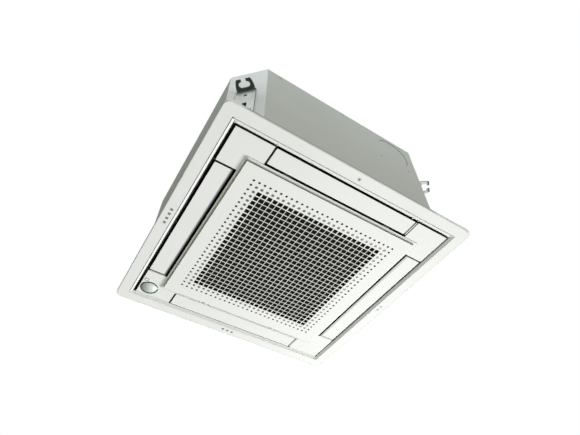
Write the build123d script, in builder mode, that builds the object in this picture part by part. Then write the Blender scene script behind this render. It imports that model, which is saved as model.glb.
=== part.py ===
"""Four-way ceiling cassette air conditioner, indoor unit with a fully flat 620 mm decoration panel.

Millimetres, +Z up. The origin is the centre of the four suspension bolts, in the seat plane of the
hanger brackets. The panel faces down and the front, with the duct knock-out, faces -Y.
"""
from build123d import *

import os
from math import cos, radians, sin, sqrt, tan

# Levels, from the panel's face up to the top of the casing
FACE = -200.0
CEILING = -192.0
FRAME_TOP = -157.0
CASE_BOTTOM = -154.0
CASE_TOP = 106.0
PAN_TOP = -100.0
COIL_TOP = 96.0

# Casing of folded galvanised sheet
CASE_HALF = 287.5
CHAMFER = 66.0
FLAT_HALF = CASE_HALF - CHAMFER
SHEET = 1.2
FLANGE = 12.0
FOAM = 20.0
CORNER_REACH = (CASE_HALF + FLAT_HALF) / sqrt(2)

# Suspension
BOLT_PITCH = 533.0
BOLT_REACH = BOLT_PITCH / sqrt(2)
BRACKET_SHEET = 3.0

# Decoration panel
PANEL_HALF = 310.0
PANEL_CORNER = 15.0
BEVEL_OUTER = 282.5
BEVEL_INNER = 275.6
BEVEL_DEPTH = 3.2
SEAM_WIDTH = 0.6
SEAM_DEPTH = 0.8
FRAME_WALL = 3.4
COVER_OUTER = 269.5
COVER_END = 183.0
COVER_SHEET = 2.0
TRAY_END = COVER_END - 2.0
TRAY_WALL = 1.2
TRAY_ROOF = -176.0
WALL = 2.0
INTAKE_INNER = 214.0
INTAKE_OUTER = 217.0
INTAKE_BOTTOM = -191.0

# Air flaps
FLAP_HALF = 179.5
FLAP_INNER = 228.0
FLAP_OUTER = 268.5
FLAP_AXIS_Y = 233.0
FLAP_AXIS_Z = -194.5
FLAP_PIN = 2.0
PIN_END = FLAP_HALF + 8.0
BUSH_RADIUS = 2.6
RUNNING = 0.05

# Intake grille
GRILLE_HALF = 222.6
GRILLE_STEP = 219.1
GRILLE_FRONT_HALF = 217.0
GRILLE_FRONT = FACE - 5.0
GRILLE_BACK = FACE - 0.5
GRILLE_SHEET = 2.0
HOLE_PITCH = 13.0
HOLE_COUNT = 25
HOLE_SIZE = 10.6
GRILLE_AXIS_Y = 223.2
GRILLE_AXIS_Z = -200.4
HINGE_X = 100.0
HINGE_PIN = 1.0
RIB_BACK = FACE - 1.0

# Fan
FAN_RADIUS = 178.0
FAN_TOP = 46.0
BLADES = 7
SHAFT_RADIUS = 5.0
THROAT = 113.0

# Heat exchanger
COIL_OUTER = 222.0
COIL_INNER = 190.0
COIL_END = 85.0
COIL_BOTTOM = PAN_TOP - 12.0
COIL_OUTER_BEND = 55.0
COIL_INNER_BEND = 23.0
TUBE_ROW = 214.0

# Connections on the hidden sides
PIPE_X = 185.0
GAS_Z = 10.0
LIQUID_Z = 50.0
DRAIN_Y = 128.0
DRAIN_Z = 60.0
CABLE_Y = -140.0
CABLE_Z = 70.0
WINDOW_Z = (GAS_Z + LIQUID_Z) / 2
WINDOW_WIDTH = 44.0
WINDOW_HEIGHT = 84.0
DRAIN_HOLE = 15.0
CABLE_HOLE = 13.0
KNOCKOUT_X = 151.0
KNOCKOUT_Z = 44.0
KNOCKOUT_RADIUS = 49.0

# Screws that hold the panel, and the control box
SCREW_Y = 228.0
SCREW_RADIUS = 2.5
SCREW_GRIP = 9.0
BOX_Y = 165.0

SIDES = {"front": 0, "right": 90, "back": 180, "left": 270}
CORNERS = {"front_right": 0, "back_right": 90, "back_left": 180, "front_left": 270}

os.makedirs("parts", exist_ok=True)


def save(part, name):
    part.label = name
    export_step(part, f"parts/{name}.step")


def save_around(part, stem, places):
    """Writes one copy of the part for each side or corner, turned about the unit's centre."""
    for place, angle in places.items():
        save(part.rotate(Axis.Z, angle), f"{stem}_{place}")


def octagon_points(inset):
    """Corners of the casing's outline, a square with cut corners, set in by the inset."""
    half = CASE_HALF - inset
    flat = FLAT_HALF - inset * tan(radians(22.5))
    return [
        (flat, -half), (half, -flat), (half, flat), (flat, half),
        (-flat, half), (-half, flat), (-half, -flat), (-flat, -half),
    ]


def ring_sketch(outer, inner, radius=0.0):
    """Square ring between two half widths."""
    if radius:
        RectangleRounded(2 * outer, 2 * outer, radius)
    else:
        Rectangle(2 * outer, 2 * outer)
    Rectangle(2 * inner, 2 * inner, mode=Mode.SUBTRACT)


# ---------------------------------------------------------------- casing
def side_blank():
    """Front side sheet, mitred into the corner sheets, with its foot folded inwards."""
    mitre = SHEET * tan(radians(22.5))
    with BuildPart() as blank:
        with BuildSketch(Plane.XY.offset(CASE_BOTTOM)):
            with BuildLine():
                Polyline(
                    (-FLAT_HALF, -CASE_HALF), (FLAT_HALF, -CASE_HALF),
                    (FLAT_HALF - mitre, -CASE_HALF + SHEET), (-FLAT_HALF + mitre, -CASE_HALF + SHEET),
                    close=True,
                )
            make_face()
        extrude(amount=CASE_TOP - SHEET - CASE_BOTTOM)
        with BuildSketch(Plane.XY.offset(CASE_BOTTOM)):
            with Locations((0, -CASE_HALF + FLANGE / 2)):
                Rectangle(2 * FLAT_HALF - FLANGE, FLANGE)
        extrude(amount=SHEET)
    return blank.part


def side_plates():
    """Front with the fresh-air knock-out, back with the pipe window, right with drain and cable holes."""
    groove, hole_radius, head_radius, head_height = 0.9, 2.5, 4.0, 1.2
    holes, screws = [(104.0, -10.0), (191.0, -10.0)], [(-187.0, 98.0), (0.0, 98.0), (187.0, 98.0)]
    outside = Plane.XZ.offset(CASE_HALF)
    with BuildPart() as front:
        add(side_blank())
        with BuildSketch(outside):
            with Locations((KNOCKOUT_X, KNOCKOUT_Z)):
                Circle(KNOCKOUT_RADIUS)
        extrude(amount=-groove, mode=Mode.SUBTRACT)
        with BuildSketch(outside.offset(-SHEET)):
            with Locations((KNOCKOUT_X, KNOCKOUT_Z)):
                Circle(KNOCKOUT_RADIUS)
        extrude(amount=-groove)
        with BuildSketch(outside):
            with Locations(*holes):
                Circle(hole_radius)
        extrude(amount=-SHEET, mode=Mode.SUBTRACT)
        with BuildSketch(outside):
            with Locations(*screws):
                Circle(head_radius)
        extrude(amount=head_height)
    save(front.part, "side_plate_front")

    with BuildPart() as back:
        add(side_blank().rotate(Axis.Z, 180))
        with BuildSketch(Plane.XZ.offset(-CASE_HALF)):
            with Locations((PIPE_X, WINDOW_Z)):
                RectangleRounded(WINDOW_WIDTH, WINDOW_HEIGHT, 6)
        extrude(amount=SHEET, mode=Mode.SUBTRACT)
    save(back.part, "side_plate_back")

    with BuildPart() as right:
        add(side_blank().rotate(Axis.Z, 90))
        with BuildSketch(Plane.YZ.offset(CASE_HALF)):
            with Locations((DRAIN_Y, DRAIN_Z)):
                Circle(DRAIN_HOLE)
            with Locations((CABLE_Y, CABLE_Z)):
                Circle(CABLE_HOLE)
        extrude(amount=-SHEET, mode=Mode.SUBTRACT)
    save(right.part, "side_plate_right")
    save(side_blank().rotate(Axis.Z, 270), "side_plate_left")


def corner_plates():
    mitre = SHEET * tan(radians(22.5))
    with BuildPart() as plate:
        with BuildSketch(Plane.XY.offset(CASE_BOTTOM)):
            with BuildLine():
                Polyline(
                    (FLAT_HALF, -CASE_HALF), (CASE_HALF, -FLAT_HALF),
                    (CASE_HALF - SHEET, -FLAT_HALF + mitre), (FLAT_HALF - mitre, -CASE_HALF + SHEET),
                    close=True,
                )
            make_face()
        extrude(amount=CASE_TOP - SHEET - CASE_BOTTOM)
    with BuildPart() as plates:
        for angle in CORNERS.values():
            add(plate.part.rotate(Axis.Z, angle))
    save(plates.part, "corner_plates")


def top_plate():
    """Roof sheet with four pressed stiffening beads and the raised seat of the fan motor."""
    bead_height, bead_length, bead_width, bead_reach = 1.5, 120.0, 22.0, 175.0
    seat_radius = 88.0
    with BuildPart() as roof:
        with BuildSketch(Plane.XY.offset(CASE_TOP - SHEET)):
            Polygon(*octagon_points(0), align=None)
        extrude(amount=SHEET)
        with BuildSketch(Plane.XY.offset(CASE_TOP)):
            Circle(seat_radius)
            with PolarLocations(bead_reach, 4, start_angle=45):
                SlotOverall(bead_length, bead_width)
        extrude(amount=bead_height)
        with BuildSketch(Plane.XY.offset(CASE_TOP - SHEET)):
            Circle(seat_radius - SHEET)
            with PolarLocations(bead_reach, 4, start_angle=45):
                SlotOverall(bead_length - 2 * SHEET, bead_width - 2 * SHEET)
        extrude(amount=bead_height, mode=Mode.SUBTRACT)
    save(roof.part, "top_plate")


def hanger_brackets():
    """Bent steel brackets: a foot on the corner sheet and a forked flange for the suspension bolt."""
    shoulder, tip = 377.0, 390.0
    root_half, shoulder_half, tip_half = 20.5, 20.2, 16.0
    foot_width, foot_drop, bend_radius = 46.0, 112.0, 2.5
    slot_length, slot_width, neck = 26.0, 14.0, 11.0
    bolt_drop, bolt_radius, oval_drop, oval_height, oval_width = 25.0, 3.5, 73.0, 20.0, 11.0
    rivet_x, rivet_drop, rivet_radius = 15.0, 98.0, 2.5
    with BuildPart() as bracket:
        with BuildSketch(Plane.YZ.offset(CORNER_REACH)):
            with Locations((0, (BRACKET_SHEET - foot_drop) / 2)):
                Rectangle(foot_width, foot_drop + BRACKET_SHEET)
        extrude(amount=BRACKET_SHEET)
        with BuildSketch(Plane.YZ.offset(CORNER_REACH)):
            with Locations((0, -bolt_drop)):
                Circle(bolt_radius)
            with Locations((0, -oval_drop)):
                SlotOverall(oval_height, oval_width, rotation=90)
            with Locations((-rivet_x, -rivet_drop), (rivet_x, -rivet_drop)):
                Circle(rivet_radius)
        extrude(amount=BRACKET_SHEET, mode=Mode.SUBTRACT)
        with BuildSketch(Plane.XY):
            with BuildLine():
                Line((CORNER_REACH, root_half), (CORNER_REACH, -root_half))
                ThreePointArc((CORNER_REACH, -root_half), (shoulder, -shoulder_half), (tip, -tip_half))
                Line((tip, -tip_half), (tip, tip_half))
                ThreePointArc((tip, tip_half), (shoulder, shoulder_half), (CORNER_REACH, root_half))
            make_face()
        extrude(amount=BRACKET_SHEET)
        with BuildSketch(Plane.XY):
            with Locations((BOLT_REACH, 0)):
                SlotOverall(slot_length, slot_width, rotation=90)
            with Locations((BOLT_REACH + 10, 0)):
                Rectangle(20, neck)
        extrude(amount=BRACKET_SHEET, mode=Mode.SUBTRACT)
        bend = bracket.edges().filter_by(Axis.Y).filter_by_position(Axis.Z, -0.1, 0.1)
        fillet(bend.sort_by(Axis.X)[0], radius=bend_radius)
    save_around(bracket.part.rotate(Axis.Z, -45), "hanger_bracket", CORNERS)


def insulation():
    """Expanded foam lining of the casing walls, and the foam sheet under the roof."""
    roof_gap, trim, relief, motor_hole = 0.8, 4.0, 4.0, 78.0
    with BuildPart() as liner:
        with BuildSketch(Plane.XY.offset(CASE_BOTTOM + SHEET)):
            Polygon(*octagon_points(SHEET), align=None)
            Polygon(*octagon_points(SHEET + FOAM), align=None, mode=Mode.SUBTRACT)
        extrude(amount=COIL_TOP + roof_gap - CASE_BOTTOM - SHEET)
        with BuildSketch(Plane.XZ.offset(-CASE_HALF)):
            with Locations((PIPE_X, WINDOW_Z)):
                RectangleRounded(WINDOW_WIDTH - trim, WINDOW_HEIGHT - trim, 4)
        extrude(amount=1.5 * FOAM, mode=Mode.SUBTRACT)
        with BuildSketch(Plane.YZ.offset(CASE_HALF)):
            with Locations((DRAIN_Y, DRAIN_Z)):
                Circle(DRAIN_HOLE)
            with Locations((CABLE_Y, CABLE_Z)):
                Circle(CABLE_HOLE)
        extrude(amount=-1.5 * FOAM, mode=Mode.SUBTRACT)
        with BuildSketch(Plane.XZ.offset(CASE_HALF)):
            with Locations((KNOCKOUT_X, KNOCKOUT_Z)):
                Circle(KNOCKOUT_RADIUS + 1)
        extrude(amount=-relief, mode=Mode.SUBTRACT)
    save(liner.part, "insulation_liner")

    with BuildPart() as sheet:
        with BuildSketch(Plane.XY.offset(COIL_TOP + roof_gap)):
            Polygon(*octagon_points(SHEET), align=None)
            Circle(motor_hole, mode=Mode.SUBTRACT)
        extrude(amount=CASE_TOP - SHEET - COIL_TOP - roof_gap)
    save(sheet.part, "top_insulation")


# ---------------------------------------------------------------- fan
def fan_motor():
    """Outer-case motor hung from the roof on four lugs with rubber bushes."""
    lug_reach, lug_level, lug_sheet, lug_hole = 64.0, 88.0, 4.0, 4.0
    upper_radius, lower_radius, washer, sleeve = 9.0, 8.0, 6.0, 8.0
    case_bottom, shaft_bottom, shaft_length = 52.0, 12.0, 76.0
    with BuildPart() as motor:
        with BuildSketch(Plane.XZ):
            with BuildLine():
                Polyline(
                    (0, 98), (40, 98), (50, 94), (55, 88), (55, 66), (50, 59), (22, 56), (16, case_bottom),
                    (0, case_bottom), close=True,
                )
            make_face()
        revolve(axis=Axis.Z)
        with BuildSketch(Plane.XY.offset(lug_level)):
            with PolarLocations(lug_reach - 12, 4, start_angle=45):
                SlotOverall(44, 20)
        extrude(amount=lug_sheet)
        with BuildSketch(Plane.XY.offset(case_bottom)):
            Circle(SHAFT_RADIUS + RUNNING)
        extrude(amount=shaft_bottom + shaft_length + 2 - case_bottom, mode=Mode.SUBTRACT)
        with BuildSketch(Plane.XY.offset(lug_level)):
            with PolarLocations(lug_reach, 4, start_angle=45):
                Circle(lug_hole)
        extrude(amount=lug_sheet, mode=Mode.SUBTRACT)
    save(motor.part, "fan_motor")

    with BuildPart() as bushes:
        for radius, top, height in (
            (upper_radius, CASE_TOP - SHEET, CASE_TOP - SHEET - lug_level - lug_sheet),
            (lug_hole, lug_level + lug_sheet, sleeve),
            (lower_radius, lug_level, washer),
        ):
            with BuildSketch(Plane.XY.offset(top)):
                with PolarLocations(lug_reach, 4, start_angle=45):
                    Circle(radius)
            extrude(amount=-height)
    save(bushes.part, "motor_bushes")

    with BuildPart() as shaft:
        with BuildSketch(Plane.XY.offset(shaft_bottom)):
            Circle(SHAFT_RADIUS)
        extrude(amount=shaft_length)
        chamfer(shaft.edges().group_by(Axis.Z)[0], length=1)
    save(shaft.part, "motor_shaft")


def fan_impeller():
    """Backward-curved turbo fan: hub disc and boss, seven blades and a flared shroud with its collar."""
    disc, grip, boss_bottom, shroud_bottom, collar_bottom = 2.5, 0.02, 22.0, -98.0, -112.0
    blade_inner, blade_middle, blade_outer, blade_sheet = 102.0, 146.0, FAN_RADIUS - 1, 3.0
    middle_sweep, outer_sweep = radians(-11), radians(-36)
    hub_hole_reach, hub_hole_radius, nut_height, nut_half = 50.0, 7.0, 7.0, 8.5
    shroud_start, shroud_middle, shroud_end = (119.0, shroud_bottom), (140.0, -72.0), (FAN_RADIUS, -62.0)
    with BuildPart() as fan:
        with BuildSketch(Plane.XY.offset(shroud_bottom)):
            with PolarLocations(0, BLADES):
                with BuildLine(mode=Mode.PRIVATE) as camber:
                    ThreePointArc(
                        (blade_inner, 0),
                        (blade_middle * cos(middle_sweep), blade_middle * sin(middle_sweep)),
                        (blade_outer * cos(outer_sweep), blade_outer * sin(outer_sweep)),
                    )
                trace(camber.line, line_width=blade_sheet)
        extrude(amount=FAN_TOP - disc - shroud_bottom)
        with BuildSketch(Plane.XZ):
            with BuildLine():
                Polyline((0, -120), (FAN_RADIUS + 20, -120), (FAN_RADIUS + 20, -60), shroud_end)
                ThreePointArc(shroud_end, shroud_middle, shroud_start)
                Polyline(shroud_start, (90, shroud_bottom), (90, -75), (0, -75), (0, -120))
            make_face()
        revolve(axis=Axis.Z, mode=Mode.SUBTRACT)
        with BuildSketch(Plane.XZ):
            with BuildLine():
                Polyline((119, collar_bottom), (121, collar_bottom), (121, -99.5))
                ThreePointArc((121, -99.5), (141, -74.3), (FAN_RADIUS, -64.2))
                Line((FAN_RADIUS, -64.2), shroud_end)
                ThreePointArc(shroud_end, shroud_middle, shroud_start)
                Line(shroud_start, (119, collar_bottom))
            make_face()
        revolve(axis=Axis.Z)
        with BuildSketch(Plane.XZ):
            with BuildLine():
                Polyline(
                    (0, FAN_TOP), (FAN_RADIUS, FAN_TOP), (FAN_RADIUS, FAN_TOP - disc), (32, FAN_TOP - disc),
                    (18, 36), (14, boss_bottom), (0, boss_bottom), close=True,
                )
            make_face()
        revolve(axis=Axis.Z)
        with BuildSketch(Plane.XY.offset(boss_bottom)):
            Circle(SHAFT_RADIUS + grip)
            with PolarLocations(hub_hole_reach, 6):
                Circle(hub_hole_radius)
        extrude(amount=FAN_TOP - boss_bottom, mode=Mode.SUBTRACT)
    save(fan.part, "fan_impeller")

    with BuildPart() as nut:
        with BuildSketch(Plane.XY.offset(boss_bottom)):
            RegularPolygon(nut_half, 6, major_radius=False)
            Circle(SHAFT_RADIUS + grip, mode=Mode.SUBTRACT)
        extrude(amount=-nut_height)
    save(nut.part, "fan_nut")


def bellmouth():
    """Flat inlet plate with a rolled throat that reaches into the fan's collar."""
    flare, sheet, plate_half, throat_top = 24.0, 2.0, 196.0, -106.0
    box_length, box_width = 262.0, 40.0
    with BuildPart() as mouth:
        with BuildSketch(Plane.XY.offset(CASE_BOTTOM)):
            Rectangle(2 * plate_half, 2 * plate_half)
            Circle(THROAT + flare + 1, mode=Mode.SUBTRACT)
            with Locations((0, BOX_Y)):
                Rectangle(box_length, box_width, mode=Mode.SUBTRACT)
        extrude(amount=sheet)
        with BuildSketch(Plane.XZ):
            with BuildLine():
                Line((THROAT + flare + 2, CASE_BOTTOM), (THROAT + flare, CASE_BOTTOM))
                ThreePointArc(
                    (THROAT + flare, CASE_BOTTOM),
                    (THROAT + flare * (1 - cos(radians(45))), CASE_BOTTOM + flare * (1 - sin(radians(45)))),
                    (THROAT, CASE_BOTTOM + flare),
                )
                Polyline(
                    (THROAT, CASE_BOTTOM + flare), (THROAT, throat_top), (THROAT + sheet, throat_top),
                    (THROAT + sheet, CASE_BOTTOM + flare),
                )
                ThreePointArc(
                    (THROAT + sheet, CASE_BOTTOM + flare),
                    (THROAT + flare - (flare - sheet) * cos(radians(45)),
                     CASE_BOTTOM + flare - (flare - sheet) * sin(radians(45))),
                    (THROAT + flare, CASE_BOTTOM + sheet),
                )
                Line((THROAT + flare, CASE_BOTTOM + sheet), (THROAT + flare + 2, CASE_BOTTOM + sheet))
                Line((THROAT + flare + 2, CASE_BOTTOM + sheet), (THROAT + flare + 2, CASE_BOTTOM))
            make_face()
        revolve(axis=Axis.Z)
    save(mouth.part, "bellmouth")


# ---------------------------------------------------------------- refrigerant, drain and electrics
def drain_pan():
    """Foam pan under the coil: trough on top, air slots on four sides, rebate for the inlet plate."""
    slot_start, slot_end = FLAP_INNER, 275.0
    opening_half, rebate_half, rebate_depth, play = 186.0, 196.2, 2.0, 1.5
    with BuildPart() as pan:
        with BuildSketch(Plane.XY.offset(CASE_BOTTOM)):
            Polygon(*octagon_points(SHEET + FOAM + 0.3), align=None)
            Rectangle(2 * opening_half, 2 * opening_half, mode=Mode.SUBTRACT)
            for angle in SIDES.values():
                turn, reach = radians(angle), (slot_start + slot_end) / 2
                with Locations(Location((reach * sin(turn), -reach * cos(turn)), angle)):
                    Rectangle(2 * COVER_END, slot_end - slot_start, mode=Mode.SUBTRACT)
        extrude(amount=PAN_TOP - CASE_BOTTOM)
        with BuildSketch(Plane.XY.offset(COIL_BOTTOM)):
            outer, inner = 2 * (COIL_OUTER + play), 2 * (COIL_INNER - play)
            RectangleRounded(outer, outer, COIL_OUTER_BEND + 1)
            RectangleRounded(inner, inner, COIL_INNER_BEND - 1, mode=Mode.SUBTRACT)
        extrude(amount=PAN_TOP - COIL_BOTTOM, mode=Mode.SUBTRACT)
        with BuildSketch(Plane.XY.offset(CASE_BOTTOM)):
            Rectangle(2 * rebate_half, 2 * rebate_half)
        extrude(amount=rebate_depth, mode=Mode.SUBTRACT)
        with BuildSketch(Plane.XY.offset(CASE_BOTTOM)):
            with PolarLocations(SCREW_Y * sqrt(2), 4, start_angle=45):
                Circle(SCREW_RADIUS)
        extrude(amount=SCREW_GRIP, mode=Mode.SUBTRACT)
    save(pan.part, "drain_pan")


def heat_exchanger():
    """Finned coil bent round the fan, open at the pipe corner, with its end sheets and partition."""
    with BuildPart() as coil:
        with BuildSketch(Plane.XY.offset(COIL_BOTTOM)):
            RectangleRounded(2 * COIL_OUTER, 2 * COIL_OUTER, COIL_OUTER_BEND)
            RectangleRounded(2 * COIL_INNER, 2 * COIL_INNER, COIL_INNER_BEND, mode=Mode.SUBTRACT)
            with Locations((COIL_END + 100, COIL_END + 100)):
                Rectangle(200, 200, mode=Mode.SUBTRACT)
        extrude(amount=COIL_TOP - COIL_BOTTOM)
    save(coil.part, "heat_exchanger")

    with BuildPart() as plates:
        with BuildSketch(Plane.XY.offset(PAN_TOP)):
            with Locations((COIL_END + SHEET / 2, (COIL_INNER + COIL_OUTER) / 2)):
                Rectangle(SHEET, COIL_OUTER - COIL_INNER)
            with Locations(((COIL_INNER + COIL_OUTER) / 2, COIL_END + SHEET / 2)):
                Rectangle(COIL_OUTER - COIL_INNER, SHEET)
            with BuildLine():
                Polyline(
                    (COIL_END, COIL_INNER), (COIL_END, COIL_INNER + 2), (COIL_END + SHEET, COIL_INNER + 2),
                    (COIL_INNER + 2, COIL_END + SHEET), (COIL_INNER + 2, COIL_END), (COIL_INNER, COIL_END),
                    close=True,
                )
            make_face()
        extrude(amount=COIL_TOP - PAN_TOP)
    save(plates.part, "coil_plates")


def coil_pipes():
    """Copper return bends on the coil's end sheet, the service pipes with their unions, and the cover."""
    end_face = COIL_END + SHEET
    bend_radius, tube_radius = 10.5, 3.5
    lowest, pair_pitch, inner_row = -90.0, 4 * bend_radius, 199.0
    pipe_end, pipe_bend, hexagon_length, bore_share = 306.0, 26.0, 10.0, 0.55
    cover_lap, gas_hole, liquid_hole, head_radius, head_height = 10.0, 7.2, 4.0, 4.0, 2.0
    screw_reach = WINDOW_HEIGHT / 2 + 6
    with BuildPart() as bends:
        for tube_y, count in ((inner_row, 4), (TUBE_ROW, 2)):
            for row in range(count):
                low = lowest + row * pair_pitch
                with BuildSketch(Plane.YZ.offset(end_face)):
                    with Locations((tube_y, low)):
                        Circle(tube_radius)
                revolve(axis=Axis((end_face, tube_y, low + bend_radius), (0, -1, 0)), revolution_arc=180)
    save(bends.part, "return_bends")

    for name, radius, height in (("gas_pipe", 6.35, GAS_Z), ("liquid_pipe", 3.175, LIQUID_Z)):
        start = (end_face, TUBE_ROW, height)
        with BuildPart() as pipe:
            with BuildLine() as route:
                FilletPolyline(
                    start, (PIPE_X, TUBE_ROW, height), (PIPE_X, pipe_end, height), radius=pipe_bend,
                )
            with BuildSketch(Plane(origin=start, z_dir=(1, 0, 0))):
                Circle(radius)
            sweep(path=route.line)
        save(pipe.part, name)

    with BuildPart() as unions:
        for radius, hexagon, height, nose in ((9.525, 12.0, GAS_Z, 16), (5.555, 8.5, LIQUID_Z, 14)):
            with BuildSketch(Plane.XZ.offset(-pipe_end)):
                with Locations((PIPE_X, height)):
                    RegularPolygon(hexagon, 6, major_radius=False)
            extrude(amount=-hexagon_length)
            with BuildSketch(Plane.XZ.offset(-pipe_end - hexagon_length)):
                with Locations((PIPE_X, height)):
                    Circle(radius)
            extrude(amount=-nose)
            with BuildSketch(Plane.XZ.offset(-pipe_end)):
                with Locations((PIPE_X, height)):
                    Circle(radius * bore_share)
            extrude(amount=-hexagon_length - nose, mode=Mode.SUBTRACT)
    save(unions.part, "flare_unions")

    with BuildPart() as cover:
        with BuildSketch(Plane.XZ.offset(-CASE_HALF)):
            with Locations((PIPE_X, WINDOW_Z)):
                RectangleRounded(WINDOW_WIDTH + 2 * cover_lap, WINDOW_HEIGHT + 2 * cover_lap, 6)
            with Locations((PIPE_X, GAS_Z)):
                Circle(gas_hole, mode=Mode.SUBTRACT)
            with Locations((PIPE_X, LIQUID_Z)):
                Circle(liquid_hole, mode=Mode.SUBTRACT)
        extrude(amount=-SHEET)
        with BuildSketch(Plane.XZ.offset(-CASE_HALF - SHEET)):
            with Locations((PIPE_X, WINDOW_Z + screw_reach), (PIPE_X, WINDOW_Z - screw_reach)):
                Circle(head_radius)
        extrude(amount=-head_height)
    save(cover.part, "pipe_cover")


def drainage():
    """Drain pump on the pan, its hose, the float switch, and the drain socket on the right side."""
    pump_x, outlet, hose_radius, hose_bend = 212.0, PAN_TOP + 90, 8.0, 28.0
    with BuildPart() as pump:
        for radius, bottom, top in ((8, 0, 6), (26, 6, 40), (19, 40, 76), (7, 76, 90)):
            with BuildSketch(Plane.XY.offset(PAN_TOP + bottom)):
                with Locations((pump_x, DRAIN_Y)):
                    Circle(radius)
            extrude(amount=top - bottom)
    save(pump.part, "drain_pump")

    socket_start, socket_end, socket_radius, socket_bore, bore_start = 262.0, 315.0, 13.0, 10.5, 275.0
    flange_radius, flange_sheet = 22.0, 2.5
    with BuildPart() as hose:
        with BuildLine() as route:
            FilletPolyline(
                (pump_x, DRAIN_Y, outlet), (pump_x, DRAIN_Y, DRAIN_Z), (socket_start, DRAIN_Y, DRAIN_Z),
                radius=hose_bend,
            )
        with BuildSketch(Plane(origin=(pump_x, DRAIN_Y, outlet))):
            Circle(hose_radius)
        sweep(path=route.line)
    save(hose.part, "drain_hose")

    with BuildPart() as socket:
        for radius, start, end in (
            (socket_radius, socket_start, socket_end), (flange_radius, CASE_HALF, CASE_HALF + flange_sheet),
        ):
            with BuildSketch(Plane.YZ.offset(start)):
                with Locations((DRAIN_Y, DRAIN_Z)):
                    Circle(radius)
            extrude(amount=end - start)
        for radius, start in ((hose_radius, socket_start), (socket_bore, bore_start)):
            with BuildSketch(Plane.YZ.offset(start)):
                with Locations((DRAIN_Y, DRAIN_Z)):
                    Circle(radius)
            extrude(amount=socket_end - start, mode=Mode.SUBTRACT)
    save(socket.part, "drain_socket")

    float_x, float_y, float_radius, float_top, stem_radius, stem_top = 205.0, 190.0, 9.0, 22.0, 3.0, 48.0
    with BuildPart() as switch:
        for radius, bottom, top in ((float_radius, 0, float_top), (stem_radius, float_top, stem_top)):
            with BuildSketch(Plane.XY.offset(PAN_TOP + bottom)):
                with Locations((float_x, float_y)):
                    Circle(radius)
            extrude(amount=top - bottom)
        with BuildSketch(Plane.XY.offset(PAN_TOP + stem_top)):
            with Locations((float_x, float_y)):
                RectangleRounded(24, 16, 3)
        extrude(amount=5)
    save(switch.part, "float_switch")

    bush_rim, bush_bore, bush_inside, bush_outside = 16.0, 11.0, 5.0, 3.0
    with BuildPart() as bush:
        for radius, start in ((CABLE_HOLE, CASE_HALF - bush_inside), (bush_rim, CASE_HALF)):
            with BuildSketch(Plane.YZ.offset(start)):
                with Locations((CABLE_Y, CABLE_Z)):
                    Circle(radius)
            extrude(amount=CASE_HALF + bush_outside - start)
        with BuildSketch(Plane.YZ.offset(CASE_HALF - bush_inside)):
            with Locations((CABLE_Y, CABLE_Z)):
                Circle(bush_bore)
        extrude(amount=bush_inside + bush_outside, mode=Mode.SUBTRACT)
    save(bush.part, "cable_bush")


def electrics():
    """Control box let into the inlet plate, with its board, terminals and lid, and the air sensor."""
    box_bottom, box_top, box_length, box_width = CASE_BOTTOM + 2, -114.0, 258.0, 38.0
    lid_length, lid_width, lid_corner, lid_step = 276.0, 48.0, 3.0, 4.0
    board_level, board_length, board_width, board_sheet, tallest = -124.0, 236.0, 32.0, 1.6, 16.0
    with BuildPart() as tray:
        with BuildSketch(Plane.XY.offset(box_bottom)):
            with Locations((0, BOX_Y)):
                Rectangle(box_length, box_width)
        extrude(amount=box_top - box_bottom)
        with BuildSketch(Plane.XY.offset(box_bottom)):
            with Locations((0, BOX_Y)):
                Rectangle(box_length - 2 * SHEET, box_width - 2 * SHEET)
        extrude(amount=box_top - SHEET - box_bottom, mode=Mode.SUBTRACT)
    save(tray.part, "control_box")

    with BuildPart() as lid:
        with BuildSketch(Plane.XY.offset(CASE_BOTTOM - SHEET)):
            with Locations((0, BOX_Y)):
                RectangleRounded(lid_length, lid_width, lid_corner)
        extrude(amount=SHEET)
        with BuildSketch(Plane.XY.offset(CASE_BOTTOM)):
            with Locations((0, BOX_Y)):
                Rectangle(box_length - lid_step, box_width - lid_step)
        extrude(amount=box_bottom - CASE_BOTTOM)
    save(lid.part, "control_box_lid")

    with BuildPart() as board:
        with BuildSketch(Plane.XY.offset(board_level)):
            with Locations((0, BOX_Y)):
                Rectangle(board_length, board_width)
        extrude(amount=board_sheet)
        with BuildSketch(Plane.XY.offset(board_level + board_sheet)):
            with Locations((-100, BOX_Y), (0, BOX_Y), (100, BOX_Y)):
                Circle(3)
        extrude(amount=box_top - SHEET - board_level - board_sheet)
        with BuildSketch(Plane.XY.offset(board_level)):
            with Locations((-86, BOX_Y)):
                Rectangle(44, 22)
            with Locations((-30, BOX_Y), (-6, BOX_Y)):
                Circle(9)
            with Locations((50, BOX_Y)):
                Rectangle(26, 20)
        extrude(amount=-tallest)
    save(board.part, "control_board")

    sensor_x, sensor_y, clip_drop, probe_radius, probe_length = -155.0, -150.0, 4.0, 2.5, 24.0
    with BuildPart() as sensor:
        with BuildSketch(Plane.XY.offset(CASE_BOTTOM)):
            with Locations((sensor_x, sensor_y)):
                RectangleRounded(16, 10, 2)
        extrude(amount=-clip_drop)
        with BuildSketch(Plane.XZ.offset(-sensor_y - 10)):
            with Locations((sensor_x, CASE_BOTTOM - clip_drop - 2)):
                Circle(probe_radius)
        extrude(amount=probe_length)
    save(sensor.part, "air_sensor")


# ---------------------------------------------------------------- decoration panel
def tray_points(inset):
    """L-shaped outline of the front right corner tray, with the walls towards the ducts set in."""
    low, notch, high = TRAY_END + inset, INTAKE_OUTER + inset, BEVEL_INNER
    return [(low, -notch), (low, -high), (high, -high), (high, -low), (notch, -low), (notch, -notch)]


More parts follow.
